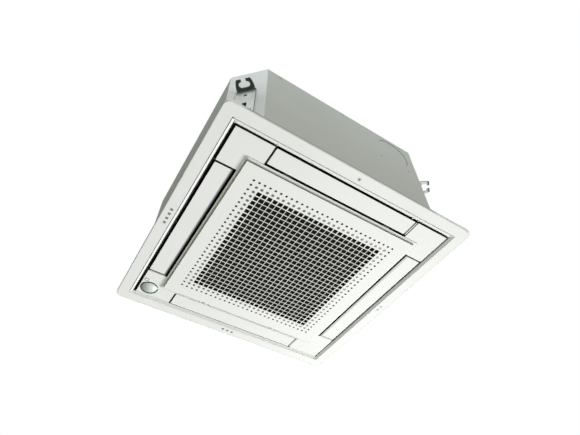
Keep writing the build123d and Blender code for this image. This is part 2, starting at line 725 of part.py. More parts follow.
def corner_tray():
    """Pocket behind a corner cover: walls, roof, screw hole, bolt access hole and the flap bush holes."""
    bottom = FACE + COVER_SHEET
    screw_play, access_y, access_radius = 0.1, 252.0, 14.0
    with BuildPart() as tray:
        with BuildSketch(Plane.XY.offset(bottom)):
            Polygon(*tray_points(0), align=None)
        extrude(amount=TRAY_ROOF + WALL - bottom)
        with BuildSketch(Plane.XY.offset(bottom)):
            Polygon(*tray_points(TRAY_WALL), align=None)
        extrude(amount=TRAY_ROOF - bottom, mode=Mode.SUBTRACT)
        with BuildSketch(Plane.XY.offset(TRAY_ROOF)):
            with Locations((SCREW_Y, -SCREW_Y)):
                Circle(SCREW_RADIUS + screw_play)
            with Locations((access_y, -access_y)):
                Circle(access_radius)
        extrude(amount=WALL, mode=Mode.SUBTRACT)
        with BuildSketch(Plane.YZ.offset(TRAY_END)):
            with Locations((-FLAP_AXIS_Y, FLAP_AXIS_Z)):
                Circle(BUSH_RADIUS)
        extrude(amount=TRAY_WALL, mode=Mode.SUBTRACT)
        with BuildSketch(Plane.XZ.offset(TRAY_END)):
            with Locations((FLAP_AXIS_Y, FLAP_AXIS_Z)):
                Circle(BUSH_RADIUS)
        extrude(amount=TRAY_WALL, mode=Mode.SUBTRACT)
    return tray.part


def panel_frame():
    """Visible lip with its seam and inner bevel, outer duct wall, flap stops and the four corner trays."""
    wall_half = BEVEL_INNER + FRAME_WALL
    wall_corner, lip_round = 6.0, 1.5
    stops = {"front": 166.0, "right": 168.0, "back": 168.0, "left": -171.6}
    stop_depth = BEVEL_INNER - COVER_OUTER + 0.4
    stop_width, stop_height, stop_lift = 3.0, 6.0, 2.5
    with BuildPart() as frame:
        with BuildSketch(Plane.XY.offset(FACE)):
            RectangleRounded(2 * PANEL_HALF, 2 * PANEL_HALF, PANEL_CORNER)
        extrude(amount=CEILING - FACE)
        fillet(frame.faces().sort_by(Axis.Z)[0].edges(), radius=lip_round)
        with BuildSketch(Plane.XY.offset(CEILING)):
            RectangleRounded(2 * wall_half, 2 * wall_half, wall_corner)
        extrude(amount=FRAME_TOP - CEILING)
        with BuildSketch(Plane.XY.offset(FACE)):
            Rectangle(2 * BEVEL_INNER, 2 * BEVEL_INNER)
        extrude(amount=FRAME_TOP - FACE, mode=Mode.SUBTRACT)
        with BuildSketch(Plane.XY.offset(FACE)):
            Rectangle(2 * BEVEL_OUTER, 2 * BEVEL_OUTER)
        with BuildSketch(Plane.XY.offset(FACE + BEVEL_DEPTH)):
            Rectangle(2 * BEVEL_INNER, 2 * BEVEL_INNER)
        loft(mode=Mode.SUBTRACT)
        with BuildSketch(Plane.XY.offset(FACE)):
            ring_sketch(BEVEL_OUTER + SEAM_WIDTH, BEVEL_OUTER)
        extrude(amount=SEAM_DEPTH, mode=Mode.SUBTRACT)
        for angle in CORNERS.values():
            add(corner_tray().rotate(Axis.Z, angle))
        for side, angle in SIDES.items():
            with BuildSketch(Plane.XY.rotated((0, 0, angle)).offset(FACE + stop_lift)):
                with Locations((stops[side], stop_depth / 2 - BEVEL_INNER)):
                    Rectangle(stop_width, stop_depth)
            extrude(amount=stop_height)
    save(frame.part, "panel_frame")


def intake_frame():
    """Square duct round the filter, with a top flange for its seal and ears for the grille hinge."""
    ear_half, ear_gap, ear_radius, ear_foot, flange_half = 2.4, 2.9, 2.0, 3.0, 204.0
    with BuildPart() as intake:
        with BuildSketch(Plane.XY.offset(INTAKE_BOTTOM)):
            ring_sketch(INTAKE_OUTER, INTAKE_INNER)
        extrude(amount=FRAME_TOP - INTAKE_BOTTOM)
        with BuildSketch(Plane.XY.offset(FRAME_TOP - WALL)):
            ring_sketch(INTAKE_INNER + 0.5, flange_half)
        extrude(amount=WALL)
        for centre in (-HINGE_X, HINGE_X):
            for side in (-1, 1):
                middle = centre + side * (ear_gap + ear_half)
                with BuildSketch(Plane.YZ.offset(middle - ear_half)):
                    with Locations((GRILLE_AXIS_Y, GRILLE_AXIS_Z)):
                        Circle(ear_radius)
                    with Locations((GRILLE_AXIS_Y, (GRILLE_AXIS_Z + INTAKE_BOTTOM + ear_foot) / 2)):
                        Rectangle(2 * ear_radius, INTAKE_BOTTOM + ear_foot - GRILLE_AXIS_Z)
                    with Locations(((INTAKE_OUTER - 1 + GRILLE_AXIS_Y) / 2, INTAKE_BOTTOM + ear_foot / 2)):
                        Rectangle(GRILLE_AXIS_Y - INTAKE_OUTER + 1, ear_foot)
                    with Locations((GRILLE_AXIS_Y, GRILLE_AXIS_Z)):
                        Circle(HINGE_PIN, mode=Mode.SUBTRACT)
                extrude(amount=2 * ear_half)
    save(intake.part, "intake_frame")

    seal_y, seal_length = BEVEL_INNER + FRAME_WALL / 2, 410.0
    with BuildPart() as seals:
        with BuildSketch(Plane.XY.offset(FRAME_TOP)):
            ring_sketch(INTAKE_OUTER, flange_half + 0.5)
            with Locations((0, seal_y), (0, -seal_y)):
                Rectangle(seal_length, FRAME_WALL)
            with Locations((seal_y, 0), (-seal_y, 0)):
                Rectangle(FRAME_WALL, seal_length)
        extrude(amount=CASE_BOTTOM - FRAME_TOP)
    save(seals.part, "panel_seals")

    head_radius, head_height = 5.5, 3.5
    with BuildPart() as screws:
        with BuildSketch(Plane.XY.offset(TRAY_ROOF)):
            with PolarLocations(SCREW_Y * sqrt(2), 4, start_angle=45):
                Circle(head_radius)
        extrude(amount=-head_height)
        with BuildSketch(Plane.XY.offset(TRAY_ROOF)):
            with PolarLocations(SCREW_Y * sqrt(2), 4, start_angle=45):
                Circle(SCREW_RADIUS)
        extrude(amount=CASE_BOTTOM + SCREW_GRIP - TRAY_ROOF)
    save(screws.part, "panel_screws")


def corner_covers():
    """L-shaped snap-on covers. The back left one carries the floor sensor and the receiver window."""
    skirt_height, skirt_sheet, skirt_start = 10.0, 2.0, COVER_END + 3
    notch = INTAKE_OUTER + 0.3
    sensor_x, sensor_y, sensor_radius, sensor_play = -245.6, 241.5, 20.8, 1.2
    window_x, window_y, window_radius, window_edge = -260.8, 215.2, 6.0, 0.8
    with BuildPart() as cover:
        with BuildSketch(Plane.XY.offset(FACE)):
            with BuildLine():
                Polyline(
                    (COVER_END, -notch), (COVER_END, -COVER_OUTER), (COVER_OUTER, -COVER_OUTER),
                    (COVER_OUTER, -COVER_END), (notch, -COVER_END), (notch, -notch), close=True,
                )
            make_face()
        extrude(amount=COVER_SHEET)
        with BuildSketch(Plane.XY.offset(FACE + COVER_SHEET)):
            with BuildLine():
                low, high, inner = skirt_start, COVER_OUTER, COVER_OUTER - skirt_sheet
                Polyline(
                    (low, -high), (high, -high), (high, -low),
                    (inner, -low), (inner, -inner), (low, -inner), close=True,
                )
            make_face()
        extrude(amount=skirt_height)
    for place, angle in CORNERS.items():
        turned = cover.part.rotate(Axis.Z, angle)
        if place == "back_left":
            with BuildPart() as pierced:
                add(turned)
                with BuildSketch(Plane.XY.offset(FACE)):
                    with Locations((sensor_x, sensor_y)):
                        Circle(sensor_radius + sensor_play)
                    with Locations((window_x, window_y)):
                        Circle(window_radius)
                extrude(amount=COVER_SHEET, mode=Mode.SUBTRACT)
            turned = pierced.part
        save(turned, f"corner_cover_{place}")

    rim, bulge, seat = sensor_radius - 2.5, 4.3, FACE - 0.2
    lens_radius = (rim**2 + bulge**2) / (2 * bulge)
    half_way = seat - bulge + lens_radius - sqrt(lens_radius**2 - (rim / 2) ** 2)
    sensor_place = Location((sensor_x, sensor_y, 0))
    with BuildPart() as dome:
        with BuildSketch(Plane.XZ):
            with BuildLine():
                Polyline((0, seat - bulge), (0, -188), (15, -188), (15, -194), (rim, -194), (rim, seat))
                ThreePointArc((rim, seat), (rim / 2, half_way), (0, seat - bulge))
            make_face()
        revolve(axis=Axis.Z)
    save(dome.part.moved(sensor_place), "sensor_dome")
    with BuildPart() as ring:
        with BuildSketch(Plane.XZ):
            with BuildLine():
                Polyline(
                    (rim, seat), (rim, -196), (rim + 3.6, -196),
                    (rim + 3.6, seat - 0.4), (rim + 1, seat - 1), close=True,
                )
            make_face()
        revolve(axis=Axis.Z)
    save(ring.part.moved(sensor_place), "sensor_ring")
    with BuildPart() as window:
        with BuildSketch(Plane.XY.offset(FACE + 4)):
            with Locations((window_x, window_y)):
                Circle(window_radius)
        extrude(amount=-5)
        fillet(window.edges().group_by(Axis.Z)[0], radius=window_edge)
    save(window.part, "receiver_window")


def flaps():
    """Air flaps: flat face, thin outer edge, crowned back, and a pin at each end of the inner edge."""
    corner, crown, edge, slope = 2.8, FLAP_AXIS_Z + 2.2, FACE + 1.8, FACE + 4.0
    middle_y, middle_z = 254.0, FACE + 4.8
    with BuildPart() as flap:
        with BuildSketch(Plane.YZ.offset(-FLAP_HALF)):
            with BuildLine():
                Polyline(
                    (-FLAP_AXIS_Y - 3, crown), (-FLAP_AXIS_Y + 2, crown), (-FLAP_INNER, slope),
                    (-FLAP_INNER, FACE), (-FLAP_OUTER, FACE), (-FLAP_OUTER, edge),
                )
                ThreePointArc((-FLAP_OUTER, edge), (-middle_y, middle_z), (-FLAP_AXIS_Y - 3, crown))
            make_face()
        extrude(amount=2 * FLAP_HALF)
        with BuildSketch(Plane.XY.offset(FACE)):
            with Locations((0, -(FLAP_INNER + FLAP_OUTER) / 2)):
                RectangleRounded(2 * FLAP_HALF, FLAP_OUTER - FLAP_INNER, corner)
        extrude(amount=crown - FACE, mode=Mode.INTERSECT)
        with BuildSketch(Plane.YZ.offset(-PIN_END)):
            with Locations((-FLAP_AXIS_Y, FLAP_AXIS_Z)):
                Circle(FLAP_PIN)
        extrude(amount=2 * PIN_END)
    save_around(flap.part, "flap", SIDES)

    bush_length, collar_radius, collar = 4.0, 3.4, 1.5
    with BuildPart() as bush:
        for start, length, radius in (
            (TRAY_END, bush_length, BUSH_RADIUS), (TRAY_END + TRAY_WALL, collar, collar_radius),
        ):
            with BuildSketch(Plane.YZ.offset(start)):
                with Locations((-FLAP_AXIS_Y, FLAP_AXIS_Z)):
                    Circle(radius)
            extrude(amount=length)
        with BuildSketch(Plane.YZ.offset(TRAY_END)):
            with Locations((-FLAP_AXIS_Y, FLAP_AXIS_Z)):
                Circle(FLAP_PIN + RUNNING)
        extrude(amount=bush_length, mode=Mode.SUBTRACT)
    with BuildPart() as bushes:
        for angle in SIDES.values():
            add(bush.part.rotate(Axis.Z, angle))
            add(bush.part.mirror(Plane.YZ).rotate(Axis.Z, angle))
    save(bushes.part, "flap_bushes")

    coupling_start, coupling_depth = TRAY_END + bush_length + 0.2, 3.0
    motor_start, motor_length, motor_radius, motor_y, motor_z = 190.0, 15.0, 9.0, -FLAP_AXIS_Y - 4, -186.0
    with BuildPart() as motor:
        with BuildSketch(Plane.YZ.offset(motor_start)):
            with Locations((motor_y, motor_z)):
                Circle(motor_radius)
        extrude(amount=motor_length)
        with BuildSketch(Plane.YZ.offset(coupling_start)):
            with Locations((-FLAP_AXIS_Y, FLAP_AXIS_Z)):
                Circle(collar_radius)
        extrude(amount=motor_start + 5 - coupling_start)
        with BuildSketch(Plane.YZ.offset(motor_start + 2)):
            with Locations((motor_y, motor_z + motor_radius - 1)):
                Rectangle(12, 4)
        extrude(amount=10)
        with BuildSketch(Plane.YZ.offset(coupling_start)):
            with Locations((-FLAP_AXIS_Y, FLAP_AXIS_Z)):
                Circle(FLAP_PIN + RUNNING)
        extrude(amount=coupling_depth, mode=Mode.SUBTRACT)
    with BuildPart() as motors:
        for angle in SIDES.values():
            add(motor.part.rotate(Axis.Z, angle))
    save(motors.part, "flap_motors")


# ---------------------------------------------------------------- intake grille
def grille_face():
    """Raised plate with a two-step bevel, slots from side to side, and hinge barrels at the back edge."""
    slot_length = HOLE_PITCH * (HOLE_COUNT - 1) + HOLE_SIZE
    step_height, recess_half, notch_width, notch_depth = 1.2, 213.0, 17.0, 4.4
    barrel_half, barrel_radius, arm_width, arm_height = 2.6, 2.0, 6.4, 1.7
    with BuildPart() as face:
        with BuildSketch(Plane.XY.offset(GRILLE_BACK)):
            Rectangle(2 * GRILLE_HALF, 2 * GRILLE_HALF)
        with BuildSketch(Plane.XY.offset(GRILLE_BACK - step_height)):
            Rectangle(2 * GRILLE_STEP, 2 * GRILLE_STEP)
        loft()
        with BuildSketch(Plane.XY.offset(GRILLE_BACK - step_height)):
            Rectangle(2 * GRILLE_STEP, 2 * GRILLE_STEP)
        with BuildSketch(Plane.XY.offset(GRILLE_FRONT)):
            Rectangle(2 * GRILLE_FRONT_HALF, 2 * GRILLE_FRONT_HALF)
        loft()
        with BuildSketch(Plane.XY.offset(GRILLE_FRONT + GRILLE_SHEET)):
            Rectangle(2 * recess_half, 2 * recess_half)
        extrude(amount=GRILLE_BACK - GRILLE_FRONT - GRILLE_SHEET, mode=Mode.SUBTRACT)
        with BuildSketch(Plane.XY.offset(GRILLE_FRONT)):
            with GridLocations(0, HOLE_PITCH, 1, HOLE_COUNT):
                Rectangle(slot_length, HOLE_SIZE)
        extrude(amount=GRILLE_SHEET, mode=Mode.SUBTRACT)
        with BuildSketch(Plane.XY.offset(GRILLE_FRONT)):
            with Locations((-HINGE_X, 221), (HINGE_X, 221)):
                Rectangle(notch_width, notch_depth)
        extrude(amount=GRILLE_BACK - GRILLE_FRONT, mode=Mode.SUBTRACT)
        for centre in (-HINGE_X, HINGE_X):
            with BuildSketch(Plane.YZ.offset(centre - barrel_half)):
                with Locations((GRILLE_AXIS_Y, GRILLE_AXIS_Z)):
                    Circle(barrel_radius)
                with Locations((GRILLE_AXIS_Y - arm_width / 2, GRILLE_BACK - arm_height / 2)):
                    Rectangle(arm_width, arm_height)
                with Locations((GRILLE_AXIS_Y, GRILLE_AXIS_Z)):
                    Circle(HINGE_PIN + RUNNING, mode=Mode.SUBTRACT)
            extrude(amount=2 * barrel_half)
    save(face.part, "grille_face")

    with BuildPart() as pins:
        with BuildSketch(Plane.YZ):
            with Locations((GRILLE_AXIS_Y, GRILLE_AXIS_Z)):
                Circle(HINGE_PIN)
        extrude(amount=8.3, both=True)
    with BuildPart() as pair:
        add(pins.part.moved(Location((-HINGE_X, 0, 0))))
        add(pins.part.moved(Location((HINGE_X, 0, 0))))
    save(pair.part, "grille_hinge_pins")


def grille_ribs():
    """Crossing bars that turn the slots into square holes, with a rim that carries the filter."""
    bar = HOLE_PITCH - HOLE_SIZE
    span = HOLE_PITCH * HOLE_COUNT
    base = GRILLE_FRONT + GRILLE_SHEET
    margin, rim_outer, rim_inner, link_reach, link_length, link_width = 5.0, 204.0, 186.0, 178.0, 20.0, 6.0
    with BuildPart() as ribs:
        with BuildSketch(Plane.XY.offset(base)):
            ring_sketch(span / 2 + margin, span / 2 - bar / 2)
            with GridLocations(HOLE_PITCH, 0, HOLE_COUNT - 1, 1):
                Rectangle(bar, span)
            ring_sketch(rim_outer, rim_inner)
            with Locations((-link_reach, 0), (link_reach, 0)):
                Rectangle(link_length, link_width)
            with Locations((0, -link_reach), (0, link_reach)):
                Rectangle(link_width, link_length)
        extrude(amount=RIB_BACK - base)
    save(ribs.part, "grille_ribs")


def air_filter():
    """Filter frame with its cross bars, and the net that it stretches over the ribs."""
    half, border, height, bar_pitch, bar, net = 194.0, 7.0, 6.0, 62.0, 4.0, 1.0
    with BuildPart() as frame:
        with BuildSketch(Plane.XY.offset(RIB_BACK)):
            ring_sketch(half, half - border, radius=6)
            with GridLocations(bar_pitch, 0, 5, 1):
                Rectangle(bar, 2 * half - border)
            with GridLocations(0, bar_pitch, 1, 5):
                Rectangle(2 * half - border, bar)
        extrude(amount=height)
        with BuildSketch(Plane.XY.offset(RIB_BACK)):
            Rectangle(2 * half - border, 2 * half - border)
        extrude(amount=net, mode=Mode.SUBTRACT)
    save(frame.part, "filter_frame")
    with BuildPart() as mesh:
        with BuildSketch(Plane.XY.offset(RIB_BACK)):
            Rectangle(2 * half - border, 2 * half - border)
        extrude(amount=net)
    save(mesh.part, "filter_net")


def grille_latches():
    """Sliding latches on the grille's front rim: thumb foot in the gap, body and tongue."""
    half_width, sheet, lip = 9.0, 2.0, 1.3
    thumb, tip, web, back = -225.3, -212.0, -204.5, -199.0
    low, lip_top, top = FACE - 0.2, FACE + 2.8, FACE + 12.0
    for name, centre in (("latch_left", -130.0), ("latch_right", 130.0)):
        with BuildPart() as latch:
            with BuildSketch(Plane.YZ.offset(centre - half_width)):
                with BuildLine():
                    Polyline(
                        (thumb, low), (back, low), (back, top), (tip, top), (tip, top - sheet),
                        (web, top - sheet), (web, low + sheet), (thumb + lip, low + sheet),
                        (thumb + lip, lip_top), (thumb, lip_top), close=True,
                    )
                make_face()
            extrude(amount=2 * half_width)
        save(latch.part, name)


side_plates()
corner_plates()
top_plate()
hanger_brackets()
insulation()
fan_motor()
fan_impeller()
bellmouth()
drain_pan()
heat_exchanger()
coil_pipes()
drainage()
electrics()
panel_frame()
intake_frame()
corner_covers()
flaps()
grille_face()
grille_ribs()
air_filter()
grille_latches()
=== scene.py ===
"""Four-way ceiling cassette air conditioner with a fully flat panel, dressed for its picture.

Metres, +Z up. The panel faces down at z = -0.2 and the front, with the duct knock-out, faces -Y.
"""
from math import cos, radians, sin

import bmesh
import bpy
from mathutils import Matrix, Vector


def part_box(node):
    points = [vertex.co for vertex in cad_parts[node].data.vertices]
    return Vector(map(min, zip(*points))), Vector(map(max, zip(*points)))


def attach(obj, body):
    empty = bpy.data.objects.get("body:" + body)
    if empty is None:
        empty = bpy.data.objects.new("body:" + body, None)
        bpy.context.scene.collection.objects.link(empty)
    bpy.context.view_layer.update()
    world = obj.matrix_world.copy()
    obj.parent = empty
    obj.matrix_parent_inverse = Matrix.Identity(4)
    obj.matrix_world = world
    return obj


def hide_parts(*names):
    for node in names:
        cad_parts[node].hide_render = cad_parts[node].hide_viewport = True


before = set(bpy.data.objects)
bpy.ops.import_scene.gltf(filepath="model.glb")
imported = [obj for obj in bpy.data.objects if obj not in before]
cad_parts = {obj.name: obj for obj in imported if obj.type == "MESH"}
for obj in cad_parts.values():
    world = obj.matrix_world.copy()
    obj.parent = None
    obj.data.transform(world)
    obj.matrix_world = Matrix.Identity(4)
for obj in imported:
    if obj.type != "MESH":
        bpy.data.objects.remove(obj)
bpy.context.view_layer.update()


# ------------------------------------------------------------------------ camera
# The eye is below the unit, in front of it and to its left, and looks up at the panel and
# at the front of the casing.
eye_place = Vector((-0.4001, -0.6659, -0.9703))
yaw, pitch, roll = radians(32.16), radians(50.83), radians(-0.355)
sensor_width, lens_length = 36, 28.24

ahead = Vector((sin(yaw) * cos(pitch), cos(yaw) * cos(pitch), sin(pitch)))
level = Vector((cos(yaw), -sin(yaw), 0))
upright = level.cross(ahead)
camera_right = cos(roll) * level + sin(roll) * upright
camera_up = cos(roll) * upright - sin(roll) * level
eye_turn = Matrix((camera_right, camera_up, -ahead)).transposed().to_4x4()

eye_lens = bpy.data.cameras.new("eye")
eye_lens.sensor_width = sensor_width
eye_lens.lens = lens_length
eye = bpy.data.objects.new("eye", eye_lens)
bpy.context.scene.collection.objects.link(eye)
eye.matrix_world = Matrix.Translation(eye_place) @ eye_turn
bpy.context.scene.camera = eye


# ------------------------------------------------------------------------ studio
# A pale floor well below the hanging unit, a white surround that fills the shadows only a
# little, and soft boxes: a large low one on the right for the panel, a low and a high one in
# front for the casing, and two overhead for the roof and the back.
bpy.context.scene.view_settings.view_transform = "Standard"
fill_level, fill_tint = 0.14, (0.92, 1.0, 0.82)


def seen_directly(tree):
    """1 for the rays that show the background itself: straight, mirrored or through a lens."""
    ray = tree.nodes.new("ShaderNodeLightPath")
    seen = ray.outputs["Is Camera Ray"]
    for other in ("Is Glossy Ray", "Is Transmission Ray"):
        either = tree.nodes.new("ShaderNodeMath")
        either.operation = "MAXIMUM"
        tree.links.new(seen, either.inputs[0])
        tree.links.new(ray.outputs[other], either.inputs[1])
        seen = either.outputs[0]
    return seen


surround = bpy.data.worlds.new("surround")
surround.use_nodes = True
bpy.context.scene.world = surround
sky = surround.node_tree
sky_shade = sky.nodes["Background"]
sky_seen = seen_directly(sky)
sky_strength = sky.nodes.new("ShaderNodeMapRange")
sky_strength.inputs["To Min"].default_value = fill_level
sky_strength.inputs["To Max"].default_value = 1.0
sky.links.new(sky_seen, sky_strength.inputs["Value"])
sky.links.new(sky_strength.outputs["Result"], sky_shade.inputs["Strength"])
sky_colour = sky.nodes.new("ShaderNodeMix")
sky_colour.data_type = "RGBA"
sky_colour.inputs[6].default_value = (*fill_tint, 1)
sky_colour.inputs[7].default_value = (1, 1, 1, 1)
sky.links.new(sky_seen, sky_colour.inputs["Factor"])
sky.links.new(sky_colour.outputs[2], sky_shade.inputs["Color"])

panel_centre = Vector((0, 0, -0.2))


def soft_box(name, place, size, power):
    """A square soft box that faces the panel."""
    lamp = bpy.data.lights.new(name, "AREA")
    lamp.size = size
    lamp.energy = power
    box = bpy.data.objects.new(name, lamp)
    box.location = place
    box.rotation_euler = (panel_centre - Vector(place)).to_track_quat("-Z", "Y").to_euler()
    bpy.context.scene.collection.objects.link(box)


soft_box("panel_box", (3.9, 3.4, -4.35), 2.4, 497)
soft_box("low_box", (0.1, -2.8, -1.0), 1.2, 28)
soft_box("front_box", (0.4, -2.3, 1.0), 1.2, 8.5)
soft_box("overhead_box", (-0.9, -0.5, 2.0), 1.4, 12)
soft_box("roof_box", (1.3, 1.5, 2.0), 1.4, 26)


def made(name, mesh, *materials):
    """Makes an object of the finished mesh, with its materials, and puts it in the scene."""
    data = bpy.data.meshes.new(name)
    mesh.to_mesh(data)
    mesh.free()
    for material in materials:
        data.materials.append(material)
    piece = bpy.data.objects.new(name, data)
    bpy.context.scene.collection.objects.link(piece)
    return piece


floor_level, floor_half, floor_glow = -9.0, 22.0, 0.8
floor_paint = bpy.data.materials.new("floor_paint")
floor_paint.use_nodes = True
paint = floor_paint.node_tree
paint_shade = paint.nodes["Principled BSDF"]
paint_shade.inputs["Base Color"].default_value = (0.88, 0.88, 0.87, 1)
paint_shade.inputs["Roughness"].default_value = 0.9
paint_shade.inputs["Emission Color"].default_value = (1, 1, 0.99, 1)
glow = paint.nodes.new("ShaderNodeMath")
glow.operation = "MULTIPLY"
glow.inputs[1].default_value = floor_glow
paint.links.new(seen_directly(paint), glow.inputs[0])
paint.links.new(glow.outputs[0], paint_shade.inputs["Emission Strength"])

floor_mesh = bmesh.new()
bmesh.ops.create_grid(floor_mesh, x_segments=1, y_segments=1, size=floor_half)
bmesh.ops.translate(floor_mesh, verts=floor_mesh.verts, vec=(0, 0, floor_level))
floor = made("floor", floor_mesh, floor_paint)


# ------------------------------------------------------------------------ casing
# Folded galvanised sheet, screwed together: four side plates, four narrow corner plates and
# the roof with its pressed beads. The zinc shows soft spangles and faint rolling streaks.
# Light and shade are painted into the zinc: the sheets lighter towards the top, the left plate
# darker, the corner plates brighter, and a shade line on the knock-out.
class Finish:
    """A material being made: its nodes, its shader and the object's own coordinates."""

    def __init__(self, name, roughness, metallic=0.0):
        self.material = bpy.data.materials.new(name)
        self.material.use_nodes = True
        self.nodes = self.material.node_tree.nodes
        self.links = self.material.node_tree.links
        self.shader = self.nodes["Principled BSDF"]
        self.shader.inputs["Roughness"].default_value = roughness
        self.shader.inputs["Metallic"].default_value = metallic
        self.place = self.nodes.new("ShaderNodeTexCoord").outputs["Object"]
        parts = self.nodes.new("ShaderNodeSeparateXYZ")
        self.links.new(self.place, parts.inputs["Vector"])
        self.x, self.y, self.z = parts.outputs

    def maths(self, operation, one, other=0.0):
        """One arithmetic step between values or plain numbers."""
        step = self.nodes.new("ShaderNodeMath")
        step.operation = operation
        for socket, value in zip(step.inputs, (one, other)):
            if isinstance(value, float):
                socket.default_value = value
            else:
                self.links.new(value, socket)
        return step.outputs[0]

    def both(self, one, *others):
        """Values multiplied, so that masks count only where they all lie."""
        for other in others:
            one = self.maths("MULTIPLY", one, other)
        return one

    def either(self, one, *others):
        """The greatest of the values, so that masks count where any of them lies."""
        for other in others:
            one = self.maths("MAXIMUM", one, other)
        return one

    def spread(self, value, low, high, low_in=0.3, high_in=0.7):
        """The value brought from its own range to low ... high."""
        span = self.nodes.new("ShaderNodeMapRange")
        for socket, number in (("From Min", low_in), ("From Max", high_in),
                               ("To Min", low), ("To Max", high)):
            span.inputs[socket].default_value = number
        self.links.new(value, span.inputs["Value"])
        return span.outputs["Result"]

    def over(self, value, limit, soft=0.0002):
        """1 where the value is over the limit, in metres, and 0 below it."""
        return self.spread(value, 0, 1, limit - soft, limit + soft)

    def under(self, value, limit, soft=0.0002):
        """1 where the value is under the limit, in metres, and 0 above it."""
        return self.spread(value, 1, 0, limit - soft, limit + soft)

    def within(self, value, low, high, soft=0.0001):
        """1 between the two limits, in metres, and 0 outside them."""
        return self.both(self.over(value, low, soft), self.under(value, high, soft))

    def reaches(self):
        """Distances from the middle along x and along y."""
        return self.maths("ABSOLUTE", self.x), self.maths("ABSOLUTE", self.y)

    def sides(self):
        """Distance from the axis across a side, and the signed place along that side."""
        wide, deep = self.reaches()
        along_x = self.under(self.maths("SUBTRACT", wide, deep), 0.0)
        along_y = self.maths("SUBTRACT", 1.0, along_x)
        along = self.maths("ADD", self.both(self.x, along_x), self.both(self.y, along_y))
        return self.either(wide, deep), along

    def off_diagonal(self):
        """0 on the two diagonals, where the corner plates are, and growing away from them."""
        return self.maths("ABSOLUTE", self.maths("SUBTRACT", *self.reaches()))

    def distance(self, one, other, middle):
        """Distance from the middle of a circle, measured on two of the coordinates."""
        off_one, off_other = (self.maths("SUBTRACT", value, centre)
                              for value, centre in zip((one, other), middle))
        squared = self.maths("ADD", self.both(off_one, off_one), self.both(off_other, off_other))
        return self.maths("SQRT", squared)

    def noise(self, size, detail=2.0, stretch=(1, 1, 1)):
        """Smooth noise whose lumps are about as large as the size, in metres."""
        mapping = self.nodes.new("ShaderNodeMapping")
        mapping.inputs["Scale"].default_value = [1 / (size * along) for along in stretch]
        texture = self.nodes.new("ShaderNodeTexNoise")
        texture.inputs["Scale"].default_value = 1.0
        texture.inputs["Detail"].default_value = detail
        self.links.new(self.place, mapping.inputs["Vector"])
        self.links.new(mapping.outputs["Vector"], texture.inputs["Vector"])
        return texture.outputs["Fac"]

    def flakes(self, size):
        """Crystal-like cells, each with its own even value."""
        texture = self.nodes.new("ShaderNodeTexVoronoi")
        texture.inputs["Scale"].default_value = 1 / size
        channels = self.nodes.new("ShaderNodeSeparateColor")
        self.links.new(self.place, texture.inputs["Vector"])
        self.links.new(texture.outputs["Color"], channels.inputs["Color"])
        return channels.outputs["Red"]

    def blend(self, factor, one, other):
        """Between two colours, each a triple or another blend's output."""
        mix = self.nodes.new("ShaderNodeMix")
        mix.data_type = "RGBA"
        self.links.new(factor, mix.inputs["Factor"])
        for socket, colour in ((mix.inputs[6], one), (mix.inputs[7], other)):
            if isinstance(colour, tuple):
                socket.default_value = (*colour, 1)
            else:
                self.links.new(colour, socket)
        return mix.outputs[2]

    def colour(self, output):
        self.links.new(output, self.shader.inputs["Base Color"])

    def roughness(self, output):
        self.links.new(output, self.shader.inputs["Roughness"])

    def relief(self, output, depth):
        """Raises the surface by up to the depth, in metres."""
        bump = self.nodes.new("ShaderNodeBump")
        bump.inputs["Distance"].default_value = depth
        bump.inputs["Strength"].default_value = 1.0
        self.links.new(output, bump.inputs["Height"])
        self.links.new(bump.outputs["Normal"], self.shader.inputs["Normal"])


zinc_roughness, zinc_metallic, zinc_shine = 0.6, 0.1, 0.25
streak_size, streak_stretch, streak_share = 0.12, (2.5, 2.5, 1), 0.2
grit_size, grit_depth = 0.0012, 0.00004
spangle_size, spangle_share, spangle_bright = 0.006, 0.05, (0.78, 0.8, 0.79)
# The knock-out's step is painted as a dark shade line: its half width, its fade and its colour.
step_shade_half, step_shade_fade, step_shade_colour = 0.0007, 0.015, (0.20, 0.22, 0.20)


def rolled_zinc(name):
    """Zinc coated sheet with its fine grit, and the faint streaks that rolling leaves on it."""
    zinc = Finish(name, zinc_roughness, zinc_metallic)
    zinc.shader.inputs["Specular IOR Level"].default_value = zinc_shine
    zinc.relief(zinc.noise(grit_size), grit_depth)
    clouds = zinc.noise(streak_size, detail=3.0, stretch=streak_stretch)
    return zinc, zinc.spread(clouds, -streak_share, streak_share)


def galvanised(name, dull, bright, axis="z", span=(-0.16, 0.1), knock_out=None):
    """Spangled sheet painted lighter along an axis as painted light, with a painted shade line on a
    knock-out's step.
    """
    zinc, streaks = rolled_zinc(name)
    # Painted light: the sheet grows lighter along the axis, over the span.
    light = zinc.maths("ADD", streaks, zinc.spread(getattr(zinc, axis), 0, 1, *span))
    spangles = zinc.flakes(spangle_size)
    base = zinc.blend(light, dull, bright)
    if knock_out:
        middle, radius = knock_out
        off_middle = zinc.distance(zinc.x, zinc.z, middle)
        # Painted shade: a dark line on the upper right half of the knock-out's pressed step.
        ring = zinc.within(off_middle, radius - step_shade_half, radius + step_shade_half)
        shaded_upper_right = zinc.over(zinc.maths("ADD", zinc.x, zinc.z), sum(middle), soft=step_shade_fade)
        base = zinc.blend(zinc.both(ring, shaded_upper_right), base, step_shade_colour)
    zinc.colour(zinc.blend(zinc.spread(spangles, 0.0, spangle_share, 0, 1), base, spangle_bright))
    zinc.roughness(zinc.spread(spangles, zinc_roughness - 0.03, zinc_roughness + 0.04, 0, 1))
    return zinc.material


foot_shadow_half, foot_shadow_run = 0.0315, (-0.111, 0.001)


